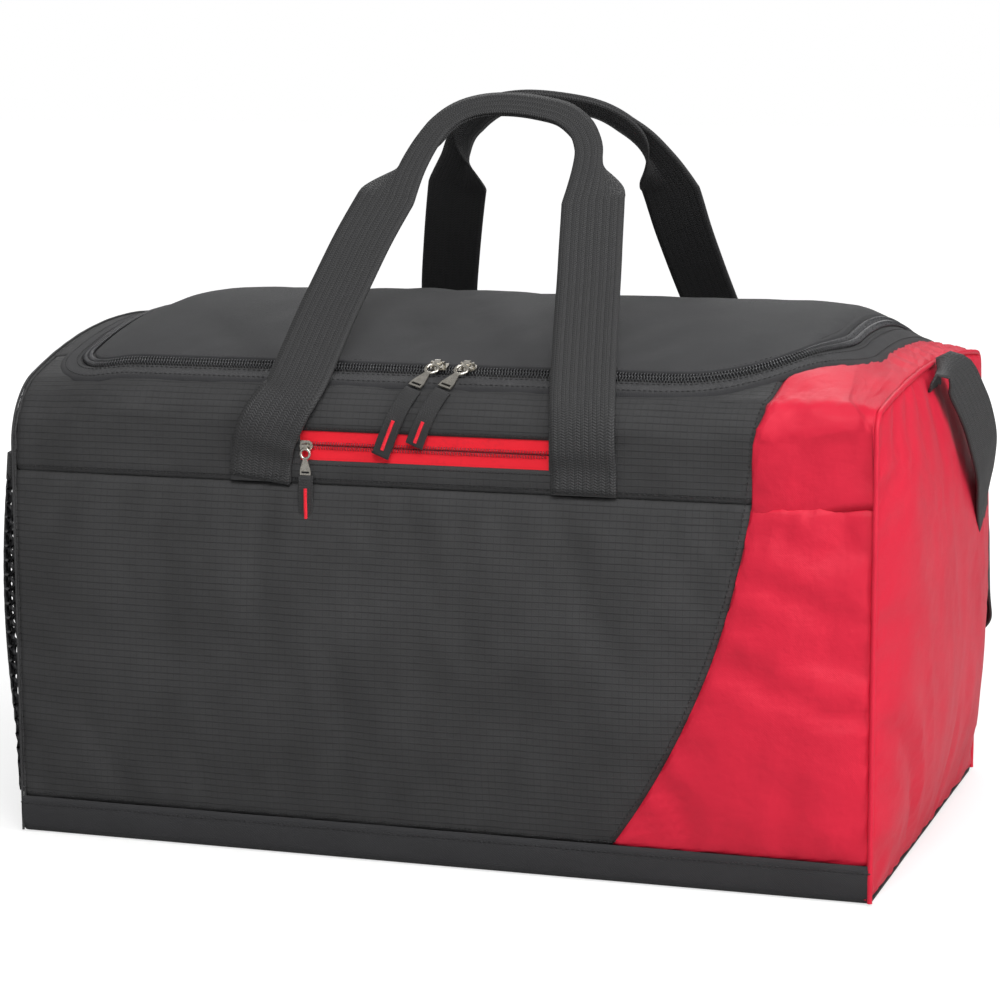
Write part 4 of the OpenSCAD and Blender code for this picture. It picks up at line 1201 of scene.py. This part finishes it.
# Tabs -----------------------------------------------------------------------------------------
def main_tab_path(slider, end_z, up):
    """Centre line of a tab over the roll and down the wall, and its facing directions."""
    start, skew = math.radians(51), math.radians(22)
    r = ROLL[0] + up
    pull_end = 24 * MM * math.sin(skew)
    angles = np.linspace(start, 0, 18)
    drop = np.linspace(WALL[0], end_z, 12)[1:]
    angle = np.concatenate([angles, np.zeros(11)])
    z_base = np.concatenate([np.full(18, WALL[0]), drop])
    run = r * (start - angle) + WALL[0] - z_base
    x = slider - pull_end - run * math.tan(skew)
    centre = np.stack([x, ROLL[0] - HALF_D - r * np.cos(angle), z_base + r * np.sin(angle)], 1)
    return centre, np.stack([0 * angle, -np.cos(angle), np.sin(angle)], 1)


def satin_bar(name, centre, facing, width, body, node):
    """A satin-stitched bar: close threads laid across a narrow line."""
    both, _ = resample(np.hstack([centre, facing]), 0.55 * MM)
    line, up = both[:, :3], unit(both[:, 3:])
    across = unit(np.cross(up, unit(np.gradient(line, axis=0))))
    paths = []
    for k, (c, a, u) in enumerate(zip(line, across, up)):
        half = a * width / 2 * (1 + 0.06 * math.sin(2.4 * k))
        paths.append(np.array([c - half - u * 0.25 * MM, c - half * 0.6 + u * 0.15 * MM,
                               c + half * 0.6 + u * 0.15 * MM, c + half - u * 0.25 * MM]))
    verts, faces = rods(paths, 0.32 * MM)
    piece(name, verts, faces, body, "red_thread", (node,))


def build_tab(name, centre, facing, width, bar, body):
    """Doubled webbing tab with its red bar; bar is the stretch of the line that is stitched."""
    grid, uv = band(centre, facing, np.full(len(centre), width), None, 0.15 * MM)
    cloth_piece(name + "_webbing", grid, body, "webbing", (name,), thickness=-1.5 * MM, uv=uv)
    line = (centre + facing * 0.95 * MM)[bar]
    node = name.replace("tab", "tab_stitch")
    satin_bar(node + "_threads", line, facing[bar], 2.0 * MM, body, node)


def build_tabs():
    for name in ("left", "right"):
        slider = (low("main_slider_" + name).x + high("main_slider_" + name).x) / 2
        centre, facing = main_tab_path(slider, low("main_tab_" + name).z + 1.5 * MM, 2.2 * MM)
        build_tab("main_tab_" + name, centre, facing, 11 * MM, slice(13, 26), "main_tab_" + name + "_body")
    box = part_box("pocket_tab")
    z = np.linspace(box[1].z, box[0].z, 14)
    middle = (box[0].x + box[1].x) / 2
    bow = 0.4 * MM * np.sin(np.linspace(0, math.pi, 14))
    centre = np.stack([np.full(14, middle), (box[0].y + box[1].y) / 2 - bow, z], 1)
    facing = np.tile([0.0, -1.0, 0.0], (14, 1))
    build_tab("pocket_tab", centre, facing, 9 * MM, slice(4, 14), "pocket_tab_body")


# Stage ----------------------------------------------------------------------------------------
def area_light(name, place, target, size, power):
    data = bpy.data.lights.new(name, "AREA")
    data.shape = "RECTANGLE"
    data.size, data.size_y = size
    data.energy = power
    light = bpy.data.objects.new(name, data)
    light.location = place
    light.rotation_euler = (Vector(target) - Vector(place)).to_track_quat("-Z", "Y").to_euler()
    bpy.context.scene.collection.objects.link(light)


def seen_strength(tree, seen, given):
    """A brightness that the camera sees higher than the light it gives."""
    ray = tree.nodes.new("ShaderNodeLightPath")
    strength = tree.nodes.new("ShaderNodeMapRange")
    for key, value in (("To Min", given), ("To Max", seen)):
        if isinstance(value, bpy.types.NodeSocket):
            tree.links.new(value, strength.inputs[key])
        else:
            strength.inputs[key].default_value = value
    tree.links.new(ray.outputs["Is Camera Ray"], strength.inputs["Value"])
    return strength.outputs["Result"]


def dim_behind(tree, front, behind):
    """World light that falls off towards the back of the room."""
    toward = tree.nodes.new("ShaderNodeTexCoord")
    parts = tree.nodes.new("ShaderNodeSeparateXYZ")
    fall = tree.nodes.new("ShaderNodeMapRange")
    tree.links.new(toward.outputs["Generated"], parts.inputs[0])
    tree.links.new(parts.outputs["Y"], fall.inputs["Value"])
    for key, value in (("From Min", 0.0), ("From Max", 0.8), ("To Min", front), ("To Max", behind)):
        fall.inputs[key].default_value = value
    return fall.outputs["Result"]


def build_stage():
    floor_mesh = bpy.data.meshes.new("floor")
    reach = 12.0
    corners = [(-reach, -reach, 0), (reach, -reach, 0), (reach, reach, 0), (-reach, reach, 0)]
    floor_mesh.from_pydata(corners, [], [(0, 1, 2, 3)])
    floor = bpy.data.objects.new("floor", floor_mesh)
    bpy.context.scene.collection.objects.link(floor)
    pale = Graph("pale_floor")
    away = pale.add("ShaderNodeVectorMath", Vector=pale.coordinate("Object"))
    away.operation = "LENGTH"
    glow = pale.add("ShaderNodeMapRange", Value=away.outputs["Value"], From_Min=0.45, From_Max=1.5,
                    To_Min=0.62, To_Max=0.85).outputs["Result"]
    pale.finish(Base_Color=(0.5, 0.5, 0.5, 1.0), Roughness=1.0, Specular_IOR_Level=0.0,
                Emission_Color=(1.0, 1.0, 1.0, 1.0), Emission_Strength=seen_strength(pale.tree, glow, 0.0))
    floor_mesh.materials.append(pale.material)
    world = bpy.data.worlds.new("studio")
    bpy.context.scene.world = world
    world.use_nodes = True
    background = world.node_tree.nodes["Background"]
    background.inputs["Color"].default_value = (1.0, 1.0, 1.0, 1.0)
    given = dim_behind(world.node_tree, 0.42, 0.12)
    world.node_tree.links.new(seen_strength(world.node_tree, 1.0, given), background.inputs["Strength"])
    middle = (0, 0, 0.2)
    area_light("key", (0.7, -1.8, 2.0), middle, (1.4, 1.1), 41)
    area_light("side", (2.3, -0.7, 1.2), middle, (0.9, 1.4), 28)
    area_light("rim", (-0.4, 2.0, 1.9), middle, (2.0, 1.0), 20)
    bpy.context.scene.view_settings.view_transform = "Standard"


CAMERA_PLACE = (0.6217, -1.8892, 0.5196)
CAMERA_TURN = (-18.476, -9.049, -0.237)


def build_camera():
    """The camera stands low in front, a little to the red end, and looks slightly down."""
    data = bpy.data.cameras.new("camera")
    data.sensor_width = 36
    data.lens = 110
    camera = bpy.data.objects.new("camera", data)
    yaw, pitch, roll = (math.radians(turn) for turn in CAMERA_TURN)
    forward = Vector((math.sin(yaw) * math.cos(pitch), math.cos(yaw) * math.cos(pitch), math.sin(pitch)))
    level = Vector((math.cos(yaw), -math.sin(yaw), 0))
    upright = level.cross(forward)
    right = level * math.cos(roll) + upright * math.sin(roll)
    upward = upright * math.cos(roll) - level * math.sin(roll)
    turn = Matrix((right, upward, -forward)).transposed().to_4x4()
    camera.matrix_world = Matrix.Translation(CAMERA_PLACE) @ turn
    bpy.context.scene.collection.objects.link(camera)
    bpy.context.scene.camera = camera


dress_cad_nodes()
build_walls()
build_base()
build_floor_lining()
build_main_zip()
build_lid()
build_front_yoke()
build_corner_yoke()
build_other_yokes()
build_inner_tapes()
build_ends()
build_mesh_pocket()
build_pocket_zip()
build_handles()
build_strap()
build_tabs()
build_stage()
build_camera()
